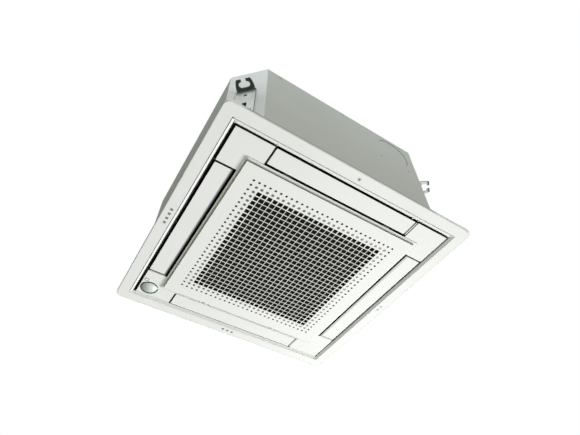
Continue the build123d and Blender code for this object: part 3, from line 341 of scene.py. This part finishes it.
def corner_sheet():
    """Sheet painted brighter and lighter towards the top as painted light, and black as painted
    shade behind the bracket's foot, where its holes look through.
    """
    sheet, streaks = rolled_zinc("corner_zinc")
    light = sheet.maths("ADD", streaks, sheet.spread(sheet.z, 0, 1, -0.07, 0.05))
    zinc = sheet.blend(light, (0.73, 0.755, 0.745), (0.90, 0.96, 0.98))
    # Painted shade: black behind the bracket's foot.
    behind = sheet.both(sheet.under(sheet.off_diagonal(), foot_shadow_half),
                        sheet.within(sheet.z, *foot_shadow_run))
    sheet.colour(sheet.blend(behind, zinc, (0.02, 0.02, 0.02)))
    return sheet.material


def coat(material, *nodes):
    """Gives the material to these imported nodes."""
    for node in nodes:
        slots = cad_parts[node].data.materials
        slots.clear()
        slots.append(material)


# Tones of the painted light, from the dull bottom of each sheet to its bright top.
side_tones_lit_to_top = ((0.45, 0.47, 0.425), (0.52, 0.55, 0.52))
left_tones_in_painted_shade = ((0.47, 0.52, 0.46), (0.365, 0.42, 0.355))
duct_middle, duct_radius = (0.151, 0.044), 0.049
coat(galvanised("side_zinc", *side_tones_lit_to_top),
     "side_plate_right", "side_plate_back", "top_plate", "pipe_cover")
coat(galvanised("front_zinc", *side_tones_lit_to_top, knock_out=(duct_middle, duct_radius)),
     "side_plate_front")
# The left plate is painted darker than the others as shade, and darker towards the back.
coat(galvanised("left_zinc", *left_tones_in_painted_shade, axis="y", span=(-0.17, 0.03)), "side_plate_left")
coat(corner_sheet(), "corner_plates")


# ------------------------------------------------------------------------ hanger brackets
# Four bent steel brackets, zinc plated, on the corner plates. Each has a foot with a round and
# an oval hole, and a forked flange that the suspension bolt slips into.
# Painted light and shade on the brackets: a pale foot, dark edges and hole walls, and shade below
# the flange.
foot_tones_painted_light, foot_edge_shade_colour = ((0.84, 0.88, 0.88), (0.92, 0.95, 0.95)), (0.04, 0.05, 0.045)
foot_edge, round_half, oval_half = 0.0322, 0.0052, 0.0080
round_run, oval_run, under_flange_shade_run = (-0.0287, -0.0213), (-0.0832, -0.0628), (-0.022, -0.001)
# The left pair's flanges are painted dark as shade, and the right pair's bright as a painted
# reflection. Their tips are painted dark as shade.
flange_in_painted_shade = ((0.05, 0.065, 0.055), (0.08, 0.095, 0.085))
flange_with_painted_reflection = ((0.36, 0.40, 0.38), (0.46, 0.50, 0.48))
tip_reach, tip_shade_colour = 0.545, flange_in_painted_shade[0]


def bracket_zinc(name, flange_shade, flange_light):
    """Foot painted pale as painted light, with painted shade on its edges, in its holes and below
    the flange, and a flange in the given tones with painted shade on its tips.
    """
    steel = Finish(name, zinc_roughness, zinc_metallic)
    steel.shader.inputs["Specular IOR Level"].default_value = zinc_shine
    wear = steel.spread(steel.noise(0.02, detail=3.0), 0, 1)
    across, reach = steel.off_diagonal(), steel.maths("ADD", *steel.reaches())
    # Painted shade on the foot's side edges and in its round and oval holes.
    round_hole_shade = steel.both(steel.under(across, round_half), steel.within(steel.z, *round_run))
    oval_hole_shade = steel.both(steel.under(across, oval_half), steel.within(steel.z, *oval_run))
    edges = steel.either(steel.over(across, foot_edge), round_hole_shade, oval_hole_shade)
    foot = steel.blend(edges, steel.blend(wear, *foot_tones_painted_light), foot_edge_shade_colour)
    flange = steel.blend(wear, flange_shade, flange_light)
    flange = steel.blend(steel.over(reach, tip_reach, soft=0.003), flange, tip_shade_colour)
    # Painted shade: the foot darkens into the flange's tone just below the fold.
    steel.colour(steel.blend(steel.spread(steel.z, 0, 1, *under_flange_shade_run), foot, flange))
    steel.relief(steel.noise(0.0015), 0.00003)
    return steel.material


coat(bracket_zinc("bracket_painted_shade", *flange_in_painted_shade),
     "hanger_bracket_front_left", "hanger_bracket_back_left")
coat(bracket_zinc("bracket_painted_reflection", *flange_with_painted_reflection),
     "hanger_bracket_front_right", "hanger_bracket_back_right")


# ------------------------------------------------------------------------ foam lining
# Expanded bead foam: the casing's lining, the roof sheet and the drain pan, and the dark
# closed-cell strips that seal the panel to the casing.
def bead_foam(name, shade, light, bead=0.004):
    """Foam of small beads, each a little lighter or darker and raised or sunk."""
    foam = Finish(name, 0.85)
    beads = foam.flakes(bead)
    foam.colour(foam.blend(foam.spread(beads, 0, 1, 0, 1), shade, light))
    foam.relief(beads, 0.0002)
    return foam.material


coat(bead_foam("lining_foam", (0.78, 0.79, 0.78), (0.84, 0.85, 0.84)),
     "insulation_liner", "top_insulation")
coat(bead_foam("pan_foam", (0.03, 0.03, 0.03), (0.045, 0.045, 0.043)), "drain_pan")
coat(bead_foam("seal_foam", (0.03, 0.03, 0.03), (0.05, 0.05, 0.048), 0.0015), "panel_seals")


# ------------------------------------------------------------------------ fan
# Dark moulded turbo fan and inlet plate, a painted motor on rubber bushes, and its steel shaft
# and nut.
grain_size, grain_depth = 0.0009, 0.00002


def moulded(name, shade, light, roughness=0.45):
    """Injection moulded plastic with a fine spark-eroded grain."""
    plastic = Finish(name, roughness)
    plastic.colour(plastic.blend(plastic.spread(plastic.noise(0.15), 0, 1), shade, light))
    grains = plastic.noise(grain_size, detail=1.0)
    plastic.roughness(plastic.spread(grains, roughness - 0.05, roughness + 0.05))
    plastic.relief(grains, grain_depth)
    return plastic.material


def turned_metal(name, shade, light, roughness=0.3):
    """Bare or plated metal with fine machining marks."""
    metal = Finish(name, roughness, metallic=1.0)
    marks = metal.noise(0.0006, stretch=(1, 1, 12))
    metal.colour(metal.blend(metal.spread(marks, 0, 1), shade, light))
    metal.roughness(metal.spread(marks, roughness - 0.06, roughness + 0.1))
    return metal.material


coat(moulded("fan_plastic", (0.045, 0.048, 0.05), (0.06, 0.063, 0.066)),
     "fan_impeller", "bellmouth")
coat(moulded("motor_paint", (0.10, 0.105, 0.11), (0.13, 0.135, 0.14), 0.5), "fan_motor")
coat(moulded("black_rubber", (0.02, 0.02, 0.02), (0.03, 0.03, 0.03), 0.7),
     "motor_bushes", "drain_hose", "cable_bush")
coat(turned_metal("plain_steel", (0.50, 0.50, 0.50), (0.60, 0.60, 0.60)),
     "motor_shaft", "fan_nut", "panel_screws", "grille_hinge_pins", "flap_motors")


# ------------------------------------------------------------------------ coil and pipes
# Aluminium fins closely set on the bent coil, copper bends and service pipes with brass flare
# unions, and the zinc end sheets.
def finned(name, pitch=0.0016):
    """Thin upright fins, drawn as fine bright and dark lines, the dark lines painted shade in the
    gaps between the fins.
    """
    fins = Finish(name, 0.4, metallic=0.9)
    turns = fins.maths("PINGPONG", fins.maths("ADD", fins.x, fins.y), pitch / 2)
    edge = fins.spread(turns, 0, 1, 0, pitch / 2)
    fins.colour(fins.blend(edge, (0.16, 0.17, 0.18), (0.70, 0.73, 0.75)))
    fins.relief(edge, 0.0004)
    return fins.material


coat(finned("coil_fins"), "heat_exchanger")
coat(turned_metal("copper", (0.60, 0.26, 0.14), (0.75, 0.36, 0.22)),
     "return_bends", "gas_pipe", "liquid_pipe")
coat(turned_metal("brass", (0.62, 0.45, 0.16), (0.75, 0.58, 0.26)), "flare_unions")
coat(galvanised("inner_zinc", (0.45, 0.47, 0.45), (0.55, 0.57, 0.55)),
     "coil_plates", "control_box", "control_box_lid")


# ------------------------------------------------------------------------ drain and electrics
# Grey moulded plastic for the pump, float switch, drain socket, air sensor and flap bushes, and
# a lacquered green circuit board in its box. Nearly all of it is shut inside the casing.
coat(moulded("service_grey", (0.30, 0.32, 0.31), (0.36, 0.38, 0.37)),
     "drain_pump", "drain_socket", "float_switch", "air_sensor", "flap_bushes")
coat(moulded("board_lacquer", (0.02, 0.09, 0.045), (0.03, 0.12, 0.06), 0.3), "control_board")


# ------------------------------------------------------------------------ panel frame
# A moulded plastic frame, screwed under the casing: the white lip with its shallow bevel, the
# dark air pockets behind the flaps, and a dark intake frame in the middle. One to four small
# raised squares number each outlet.
# The dark of the ducts, pockets and intake frame also stands as painted shade in the grooves and
# gaps, and more shade is painted on the lip, the covers, the flaps and the grille.
white_shades = ((0.815, 0.825, 0.805), (0.845, 0.85, 0.835))
dark_and_shade_tones = ((0.018, 0.021, 0.017), (0.026, 0.029, 0.025))
face_shine, face_roughness = 0.3, (0.52, 0.60)


def cloudy(plastic, shades):
    """Broad clouds between the two shades, barely seen."""
    return plastic.blend(plastic.spread(plastic.noise(0.2), 0, 1), *shades)


def grained(plastic):
    """Adds the fine spark-eroded grain of a moulded face."""
    grains = plastic.noise(grain_size, detail=1.0)
    plastic.shader.inputs["Specular IOR Level"].default_value = face_shine
    plastic.roughness(plastic.spread(grains, *face_roughness))
    plastic.relief(grains, grain_depth)
    return plastic.material


# How far out or how high each dark part and each painted shade of the lip begins and ends.
duct_back, duct_wall = -0.1921, 0.2774
pocket_back, pocket_wall, pocket_front, pocket_front_top = -0.1996, 0.2754, -0.2714, -0.1946
left_bevel_x, left_bevel_back, left_bevel_wall = -0.27, -0.1985, 0.2769
left_seam, front_seam, front_seam_y = (0.2819, 0.2834), (0.2805, 0.2818), -0.2804
seam_top, seam_end = -0.198, 0.28
right_bevel_x, right_bevel_wall = 0.2706, 0.2832
right_bevel_fade, right_bevel_shade_shares = (0.2745, 0.2832), (0.34, 0.2)
lip_wall_shade_heights, lip_wall_shade_wall, lip_wall_shade_run = (-0.1976, -0.185), 0.284, (-0.272, 0.2)
lip_wall_shade_grey = (0.36, 0.38, 0.35)
rim_shade_band, rim_shade_side, rim_shade_share = (0.3052, 0.3088), 0.29, 0.09


def lip_plastic():
    """White lip with dark ducts and pockets and painted shade: on the left and right bevels, on the
    seam at left and front, on the rounded outer edge at right and back, and grey on the outer wall
    at front and left.
    """
    plastic = Finish("lip_plastic", 0.45)
    outward, along = plastic.sides()
    right_or_back = plastic.either(plastic.x, plastic.y)

    # Dark plastic in the ducts and pockets, which also stands as painted shade deep in the grooves.
    duct = plastic.both(plastic.over(plastic.z, duct_back), plastic.under(outward, duct_wall))
    pocket = plastic.both(plastic.over(plastic.z, pocket_back),
                          plastic.under(outward, pocket_wall, soft=0.0001))
    white_edge = plastic.both(plastic.under(plastic.y, pocket_front),
                              plastic.under(plastic.z, pocket_front_top))
    pocket = plastic.maths("SUBTRACT", pocket, white_edge)
    # Painted shade on the inner edge of the left bevel.
    left_bevel_shade = plastic.both(plastic.under(outward, left_bevel_wall, soft=0.0001),
                              plastic.under(plastic.x, left_bevel_x),
                              plastic.over(plastic.z, left_bevel_back))

    # The seam's groove is painted dark as shade, on the left and front sides only.
    on_left = plastic.both(plastic.within(outward, *left_seam), plastic.under(plastic.x, -seam_end))
    on_front = plastic.both(plastic.within(outward, *front_seam),
                            plastic.under(plastic.y, front_seam_y))
    seam_shade = plastic.both(plastic.either(on_left, on_front), plastic.under(plastic.z, seam_top),
                        plastic.under(right_or_back, seam_end))
    # Painted shade on the right bevel, greyest near its inner edge.
    right_bevel_shade = plastic.both(plastic.over(plastic.x, right_bevel_x),
                               plastic.under(outward, right_bevel_wall),
                               plastic.spread(plastic.x, *right_bevel_shade_shares, *right_bevel_fade))
    # Painted shade: a faint grey line on the lip's rounded outer edge, at the right and back.
    rim = plastic.both(plastic.within(outward, *rim_shade_band, soft=0.0006),
                       plastic.over(right_or_back, rim_shade_side), rim_shade_share)

    # Painted shade: the lip's outer wall grey at the front and left, where it meets the casing.
    lip_wall_shade = plastic.both(plastic.within(plastic.z, *lip_wall_shade_heights), plastic.over(outward, lip_wall_shade_wall),
                        plastic.under(right_or_back, lip_wall_shade_wall),
                        plastic.within(along, *lip_wall_shade_run, soft=0.01))
    dark_and_shaded = plastic.either(duct, pocket, left_bevel_shade, seam_shade, right_bevel_shade, rim)
    face = plastic.blend(dark_and_shaded, cloudy(plastic, white_shades), cloudy(plastic, dark_and_shade_tones))
    plastic.colour(plastic.blend(lip_wall_shade, face, lip_wall_shade_grey))
    return grained(plastic)


ear_front, ear_top = 0.2195, -0.1975


def duct_plastic():
    """Dark intake frame and latches, the frame's dark also painted shade in the gap round the
    grille, with hinge ears as white as the grille beside them.
    """
    plastic = Finish("duct_plastic", 0.55)
    ears = plastic.both(plastic.over(plastic.y, ear_front), plastic.under(plastic.z, ear_top))
    plastic.colour(plastic.blend(ears, cloudy(plastic, dark_and_shade_tones), cloudy(plastic, white_shades)))
    return grained(plastic)


plate_rim_x, plate_rim_end, plate_rim_shade_grey = -0.2161, 0.2225, (0.52, 0.53, 0.46)


def plate_plastic():
    """The grille's white, the same all through but for painted shade, grey, on its left rim."""
    plastic = Finish("plate_plastic", 0.55)
    # Painted shade: the rim grey along the plate's left side.
    rim = plastic.both(plastic.under(plastic.x, plate_rim_x),
                       plastic.under(plastic.reaches()[1], plate_rim_end))
    plastic.colour(plastic.blend(rim, cloudy(plastic, white_shades), plate_rim_shade_grey))
    return grained(plastic)


white_plastic = plate_plastic()
coat(lip_plastic(), "panel_frame")
coat(duct_plastic(), "intake_frame", "latch_left", "latch_right")

# A low bead of the same plastic along the front bevel.
lip_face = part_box("panel_frame")[0].z
bead_reach, bead_outer, bead_inner = 0.2756, 0.2757, 0.2718
bevel_top, bead_rise, bead_wall = 0.0032, 0.0018, 0.001
bead = bmesh.new()
bead_corners = [bead.verts.new((x, -y, lip_face + bevel_top + rise)) for x, y, rise in (
    (-bead_reach, bead_outer, 0), (-bead_reach, bead_inner, bead_rise),
    (bead_reach, bead_inner, bead_rise), (bead_reach, bead_outer, 0))]
bead.faces.new(bead_corners)
bead.normal_update()
bmesh.ops.solidify(bead, geom=bead.faces[:], thickness=bead_wall)
bmesh.ops.recalc_face_normals(bead, faces=bead.faces[:])
front_bead = made("front_bead", bead, white_plastic)
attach(front_bead, "unit")


def block(mesh, low, high, turn=Matrix.Identity(4)):
    """Adds a box between two corners, then turned about the unit's axis."""
    size = [far - near for near, far in zip(low, high)]
    middle = [(near + far) / 2 for near, far in zip(low, high)]
    bmesh.ops.create_cube(mesh, size=1,
                          matrix=turn @ Matrix.Translation(middle) @ Matrix.Diagonal((*size, 1)))


# White strips in the grooves beside the back flap, and across the ends of the flaps' pockets.
side_turns = {"front": 0, "right": 90, "back": 180, "left": 270}
strip_height, inner_rise, outer_rise = 0.0006, 0.0003, 0.0014
inner_groove, outer_groove, outer_run = (0.2244, 0.2268), (0.2724, 0.2754), (-0.2754, 0.2754)
inner_runs = ((-0.2165, -0.1095), (-0.0905, 0.0905), (0.1095, 0.2165))
strips = [(run, inner_groove, inner_rise) for run in inner_runs]
strips.append((outer_run, outer_groove, outer_rise))
end_far, end_near, end_rise, end_height = 0.2675, 0.2288, 0.0004, 0.0016
end_runs = (("front", 0.1804, 0.1825), ("right", 0.1804, 0.1825), ("back", -0.1825, -0.1804),
            ("left", -0.1825, -0.1804), ("right", -0.1825, -0.1815))
end_lips = bmesh.new()
for (start, end), (near, far), rise in strips:
    block(end_lips, (start, near, lip_face + rise), (end, far, lip_face + rise + strip_height))
for side, start, end in end_runs:
    block(end_lips, (start, -end_far, lip_face + end_rise),
          (end, -end_near, lip_face + end_rise + end_height),
          Matrix.Rotation(radians(side_turns[side]), 4, "Z"))
pocket_end_lips = made("pocket_end_lips", end_lips, white_plastic)
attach(pocket_end_lips, "unit")

# One to four small raised squares number the outlets.
face_down = Matrix.Rotation(radians(180), 3, "X")
mark_reach, mark_pitch, mark_half, mark_height, mark_sunk = 0.294, 0.0137, 0.0030, 0.0004, 0.0002
mark_rows = {"front": (0.002, 1), "right": (0.003, 2), "back": (0.0015, 3), "left": (-0.001, 4)}
marks = bmesh.new()
for side, (centre, count) in mark_rows.items():
    for step in range(count):
        along = centre + (step - (count - 1) / 2) * mark_pitch
        square = bmesh.ops.create_grid(marks, x_segments=1, y_segments=1, size=mark_half)["verts"]
        bmesh.ops.rotate(marks, verts=square, cent=(0, 0, 0), matrix=face_down)
        bmesh.ops.translate(marks, verts=square, vec=(along, -mark_reach, lip_face - mark_height))
        bmesh.ops.rotate(marks, verts=square, cent=(0, 0, 0),
                         matrix=Matrix.Rotation(radians(side_turns[side]), 3, "Z"))
bmesh.ops.solidify(marks, geom=marks.faces[:], thickness=mark_height + mark_sunk)
mark_grey = moulded("mark_grey", (0.14, 0.15, 0.14), (0.18, 0.19, 0.18))
outlet_marks = made("outlet_marks", marks, mark_grey)
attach(outlet_marks, "unit")


# ------------------------------------------------------------------------ corner covers
# Snap-on L-shaped covers of the same white plastic. The back left one holds the floor sensor
# under a smoked dome and the remote control's receiver.
# The covers' and flaps' plastic carries painted shade: dark edges and backs, shade beside the
# grille's edge, and dark lines at the flaps' ends.
edge_shade_from, pale_edge_y, pale_edge_top = -0.1993, 0.2, -0.1957
side_reach, flap_end_y, cover_end_y = 0.2, 0.181, 0.2226
left_flap_fade, left_cover_fade, right_fade = (0.2294, 0.2338), (0.2230, 0.2310), (0.2265, 0.2365)
left_cover_share, right_share = 0.5, 0.75
grille_shade_line, grille_shade_line_share = (0.2215, 0.2243), 0.3
flap_end_shade_band, flap_end_shade_fade, right_end_shade_share = (0.1766, 0.1797), (0.2, 0.21), 0.7
cover_end_shade_band, near_end_shade_band = (0.1828, 0.1852), (-0.1797, -0.1780)


def shell_plastic():
    """White face with edges and back painted dark as shade, greyed where the grille's edge shades
    it, and painted shade lines beside the grille and at the flaps' ends.
    """
    plastic = Finish("shell_plastic", 0.45)
    outward, along = plastic.sides()
    wide, deep = plastic.reaches()
    # Painted shade: the edges and back dark above the face, but for the back flap's edge.
    pale_edge = plastic.both(plastic.over(plastic.y, pale_edge_y),
                             plastic.under(plastic.z, pale_edge_top))
    edges = plastic.maths("SUBTRACT", plastic.over(plastic.z, edge_shade_from), pale_edge)

    on_flap = plastic.under(deep, flap_end_y)
    left_flap = plastic.both(on_flap, plastic.spread(wide, 1, 0, *left_flap_fade))
    left_cover = plastic.both(plastic.under(deep, cover_end_y, soft=0.001),
                              plastic.spread(wide, left_cover_share, 0, *left_cover_fade))
    left_shade = plastic.both(plastic.under(plastic.x, -side_reach),
                              plastic.either(left_flap, left_cover))
    right_shade = plastic.both(plastic.over(plastic.x, side_reach), on_flap,
                               plastic.spread(wide, right_share, 0, *right_fade))
    # Painted shade: a faint grey line on the covers beside the grille's edge.
    grille_edge_shade = plastic.both(plastic.within(outward, *grille_shade_line), grille_shade_line_share)

    # Painted shade: dark lines on the flaps' and covers' faces beside the gaps at the flaps' ends.
    flap_end = plastic.both(plastic.within(along, *flap_end_shade_band),
                            plastic.spread(plastic.x, 1, right_end_shade_share, *flap_end_shade_fade))
    cover_end = plastic.both(plastic.within(along, *cover_end_shade_band),
                             plastic.under(plastic.y, -side_reach))
    near_end = plastic.within(along, *near_end_shade_band)
    dark_and_shaded = plastic.either(edges, left_shade, right_shade, grille_edge_shade,
                              flap_end, cover_end, near_end)
    plastic.colour(plastic.blend(dark_and_shaded, cloudy(plastic, white_shades),
                                 cloudy(plastic, dark_and_shade_tones)))
    return grained(plastic)


shell_white = shell_plastic()
coat(shell_white, "corner_cover_front_right", "corner_cover_back_right",
     "corner_cover_back_left", "corner_cover_front_left")


def smoked_lens():
    """Lens painted dark on one side and light on the other, as painted shade across its dome."""
    lens = Finish("smoked_lens", 0.18)
    low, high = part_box("sensor_dome")
    middle = (low.x + high.x) / 2 - (low.y + high.y) / 2
    # Painted shade across the dome, from its dark side to its light side.
    shade_from, shade_to = middle - 0.020, middle + 0.014
    lens_shading = lens.spread(lens.maths("SUBTRACT", lens.x, lens.y), 0, 1, shade_from, shade_to)
    lens.colour(lens.blend(lens_shading, (0.20, 0.28, 0.24), (0.80, 0.84, 0.82)))
    lens.shader.inputs["Coat Weight"].default_value = 0.5
    lens.shader.inputs["Coat Roughness"].default_value = 0.08
    return lens.material


ring_inner, ring_outer = 0.0042, 0.0056


def receiver_plastic():
    """White window with a dark ring round it."""
    window = Finish("receiver_plastic", 0.35)
    low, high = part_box("receiver_window")
    middle = ((low.x + high.x) / 2, (low.y + high.y) / 2)
    ring = window.within(window.distance(window.x, window.y, middle), ring_inner, ring_outer)
    window.colour(window.blend(ring, (0.80, 0.82, 0.80), (0.04, 0.05, 0.045)))
    return window.material


coat(smoked_lens(), "sensor_dome")
coat(receiver_plastic(), "receiver_window")
coat(moulded("sensor_black", (0.03, 0.035, 0.033), (0.045, 0.05, 0.047), 0.3), "sensor_ring")


# ------------------------------------------------------------------------ air flaps
# Four long white flaps of the same moulded plastic, closed flush with the lip. Each turns on
# two pins, driven by a small geared motor.
# The flaps take the shell plastic with its painted shade on edges, back and ends.
coat(shell_white, *[f"flap_{side}" for side in side_turns])


# ------------------------------------------------------------------------ intake grille
# One moulded white plate, 1.1 millimetres thick, hung on two hinge barrels at its back edge: 25
# by 25 square holes, a ring of small blind squares and a ring of round dots, with a stepped rim.
# The blind squares' floors and the front step are painted dark as shade, and the left rim is
# painted grey as shade.
plate_low, plate_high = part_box("grille_face")
plate_front, plate_half = plate_low.z, plate_high.x
hole_pitch, plate_cells = 0.013, 31
edge_ring, blind_ring, dot_ring = 12, 13, 14
edge_hole, inner_hole, blind_hole, dot_hole = 0.0105, 0.0118, 0.0066, 0.0053
corner_cut, blind_depth, plate_wall = dot_hole * 0.27, 0.0008, 0.0011
front_half, step_half, step_rise, rim_rise = 0.2156, 0.2164, 0.0033, 0.0045
hinge_x, hinge_y, hinge_rise, notch_half = 0.1, 0.2232, 0.0046, 0.0085
barrel_length, barrel_radius, arm_width, arm_height = 0.0052, 0.002, 0.0064, 0.0017
holes_reach = plate_cells * hole_pitch / 2

plate = bmesh.new()
bmesh.ops.create_grid(plate, x_segments=plate_cells, y_segments=plate_cells, size=holes_reach)
bmesh.ops.rotate(plate, verts=plate.verts, cent=(0, 0, 0), matrix=face_down)
bmesh.ops.translate(plate, verts=plate.verts, vec=(0, 0, plate_front))
cells = {}
for cell in plate.faces:
    middle = cell.calc_center_median()
    cells.setdefault(round(max(abs(middle.x), abs(middle.y)) / hole_pitch), []).append(cell)

ring_holes = {edge_ring: edge_hole, blind_ring: blind_hole, dot_ring: dot_hole}
for ring, faces in cells.items():
    if ring <= dot_ring:
        frame_width = (hole_pitch - ring_holes.get(ring, inner_hole)) / 2
        bmesh.ops.inset_individual(plate, faces=faces, thickness=frame_width, use_even_offset=True)
blind_places = [face.calc_center_median() for face in cells[blind_ring]]
open_places = [face.calc_center_median() for ring in (*range(blind_ring), dot_ring)
               for face in cells[ring]]
round_corners = [vert for ring in (blind_ring, dot_ring) for face in cells[ring]
                 for vert in face.verts]
bmesh.ops.bevel(plate, geom=round_corners, affect="VERTICES", offset=corner_cut, segments=1,
                profile=0.5, material=-1)


def faces_at(mesh, places, reach):
    """The faces whose middle lies on one of the places."""
    marks_at = {(round(place.x / reach), round(place.y / reach)) for place in places}
    found = []
    for face in mesh.faces:
        middle = face.calc_center_median()
        if (round(middle.x / reach), round(middle.y / reach)) in marks_at:
            found.append(face)
    return found


place_reach = hole_pitch / 8
bmesh.ops.delete(plate, geom=faces_at(plate, open_places, place_reach), context="FACES")
floors = faces_at(plate, blind_places, place_reach)
sunk = bmesh.ops.extrude_discrete_faces(plate, faces=floors)["faces"]
# The blind squares' floors take material 1, painted dark as the shade in the recesses.
for face in sunk:
    face.material_index = 1
sunk_verts = list(dict.fromkeys(vert for face in sunk for vert in face.verts))
bmesh.ops.translate(plate, verts=sunk_verts, vec=(0, 0, blind_depth))

# The rim grows outwards from the outermost edges, over the step and back to the panel.
rim_edges = [edge for edge in plate.edges if edge.is_boundary and
             max(abs(edge.verts[0].co.x), abs(edge.verts[0].co.y)) > holes_reach - hole_pitch / 5]
reach = holes_reach
for half, rise in ((front_half, 0), (step_half, step_rise), (plate_half, rim_rise)):
    grown = bmesh.ops.extrude_edge_only(plate, edges=rim_edges)["geom"]
    rim_edges = [item for item in grown
                 if isinstance(item, bmesh.types.BMEdge) and item.is_boundary]
    rim_verts = list(dict.fromkeys(vert for edge in rim_edges for vert in edge.verts))
    bmesh.ops.scale(plate, verts=rim_verts, vec=(half / reach, half / reach, 1))
    for vert in rim_verts:
        vert.co.z = plate_front + rise
    # The front step's faces take material 2, painted dark as the shade on the step.
    for face in {face for edge in rim_edges for face in edge.link_faces}:
        front_step = half == step_half and face.calc_center_median().y < -reach
        face.material_index = 2 if front_step else 0
    reach = half

# Two notches in the back rim make room for the intake frame's hinge ears.
for hinge in (-hinge_x, hinge_x):
    for notch_side in (hinge - notch_half, hinge + notch_half):
        back_rim = [face for face in plate.faces if face.calc_center_median().y > front_half]
        around = list(dict.fromkeys(edge for face in back_rim for edge in face.edges))
        bmesh.ops.bisect_plane(plate, geom=back_rim + around, plane_co=(notch_side, 0, 0),
                               plane_no=(1, 0, 0))
    notch = [face for face in plate.faces if face.calc_center_median().y > step_half
             and abs(face.calc_center_median().x - hinge) < notch_half]
    bmesh.ops.delete(plate, geom=notch, context="FACES")

bmesh.ops.recalc_face_normals(plate, faces=plate.faces[:])
plate.normal_update()
lowest = min(plate.faces, key=lambda face: face.calc_center_median().z)
if lowest.normal.z > 0:
    bmesh.ops.reverse_faces(plate, faces=plate.faces[:])
bmesh.ops.solidify(plate, geom=plate.faces[:], thickness=plate_wall)
for vert in plate.verts:
    vert.co.z = min(vert.co.z, plate_front + rim_rise)

across = Matrix.Rotation(radians(90), 4, "Y")
for hinge in (-hinge_x, hinge_x):
    barrel_place = Matrix.Translation((hinge, hinge_y, plate_front + hinge_rise)) @ across
    bmesh.ops.create_cone(plate, cap_ends=True, segments=20, radius1=barrel_radius,
                          radius2=barrel_radius, depth=barrel_length, matrix=barrel_place)
    arm_top = plate_front + rim_rise
    block(plate, (hinge - barrel_length / 2, hinge_y - arm_width, arm_top - arm_height),
          (hinge + barrel_length / 2, hinge_y, arm_top))
blind_shade = moulded("blind_shade", (0.06, 0.06, 0.045), (0.08, 0.08, 0.06))
step_shade = moulded("step_shade", (0.14, 0.135, 0.11), (0.17, 0.165, 0.135))
intake_grille = made("intake_grille", plate, white_plastic, blind_shade, step_shade)
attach(intake_grille, "grille")
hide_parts("grille_face", "grille_ribs")


# ------------------------------------------------------------------------ air filter
# A dark moulded frame with thin cross bars, which stretches a net woven of polypropylene thread
# behind the grille's holes.
def woven_net():
    """Dark woven thread with hardly any shine, its near-black also painted shade deep behind the
    grille's holes.
    """
    net = Finish("woven_net", 0.7)
    threads = net.flakes(0.0012)
    tint = net.spread(net.noise(0.05), 0, 1)
    weave = net.blend(net.spread(threads, 0, 1, 0, 1), (0.003, 0.003, 0.001), (0.007, 0.007, 0.002))
    net.colour(net.blend(tint, weave, (0.005, 0.005, 0.0015)))
    net.relief(threads, 0.0003)
    net.shader.inputs["Specular IOR Level"].default_value = 0.1
    return net.material


coat(woven_net(), "filter_net")
coat(moulded("filter_dark", (0.010, 0.010, 0.009), (0.016, 0.016, 0.014), 0.6), "filter_frame")
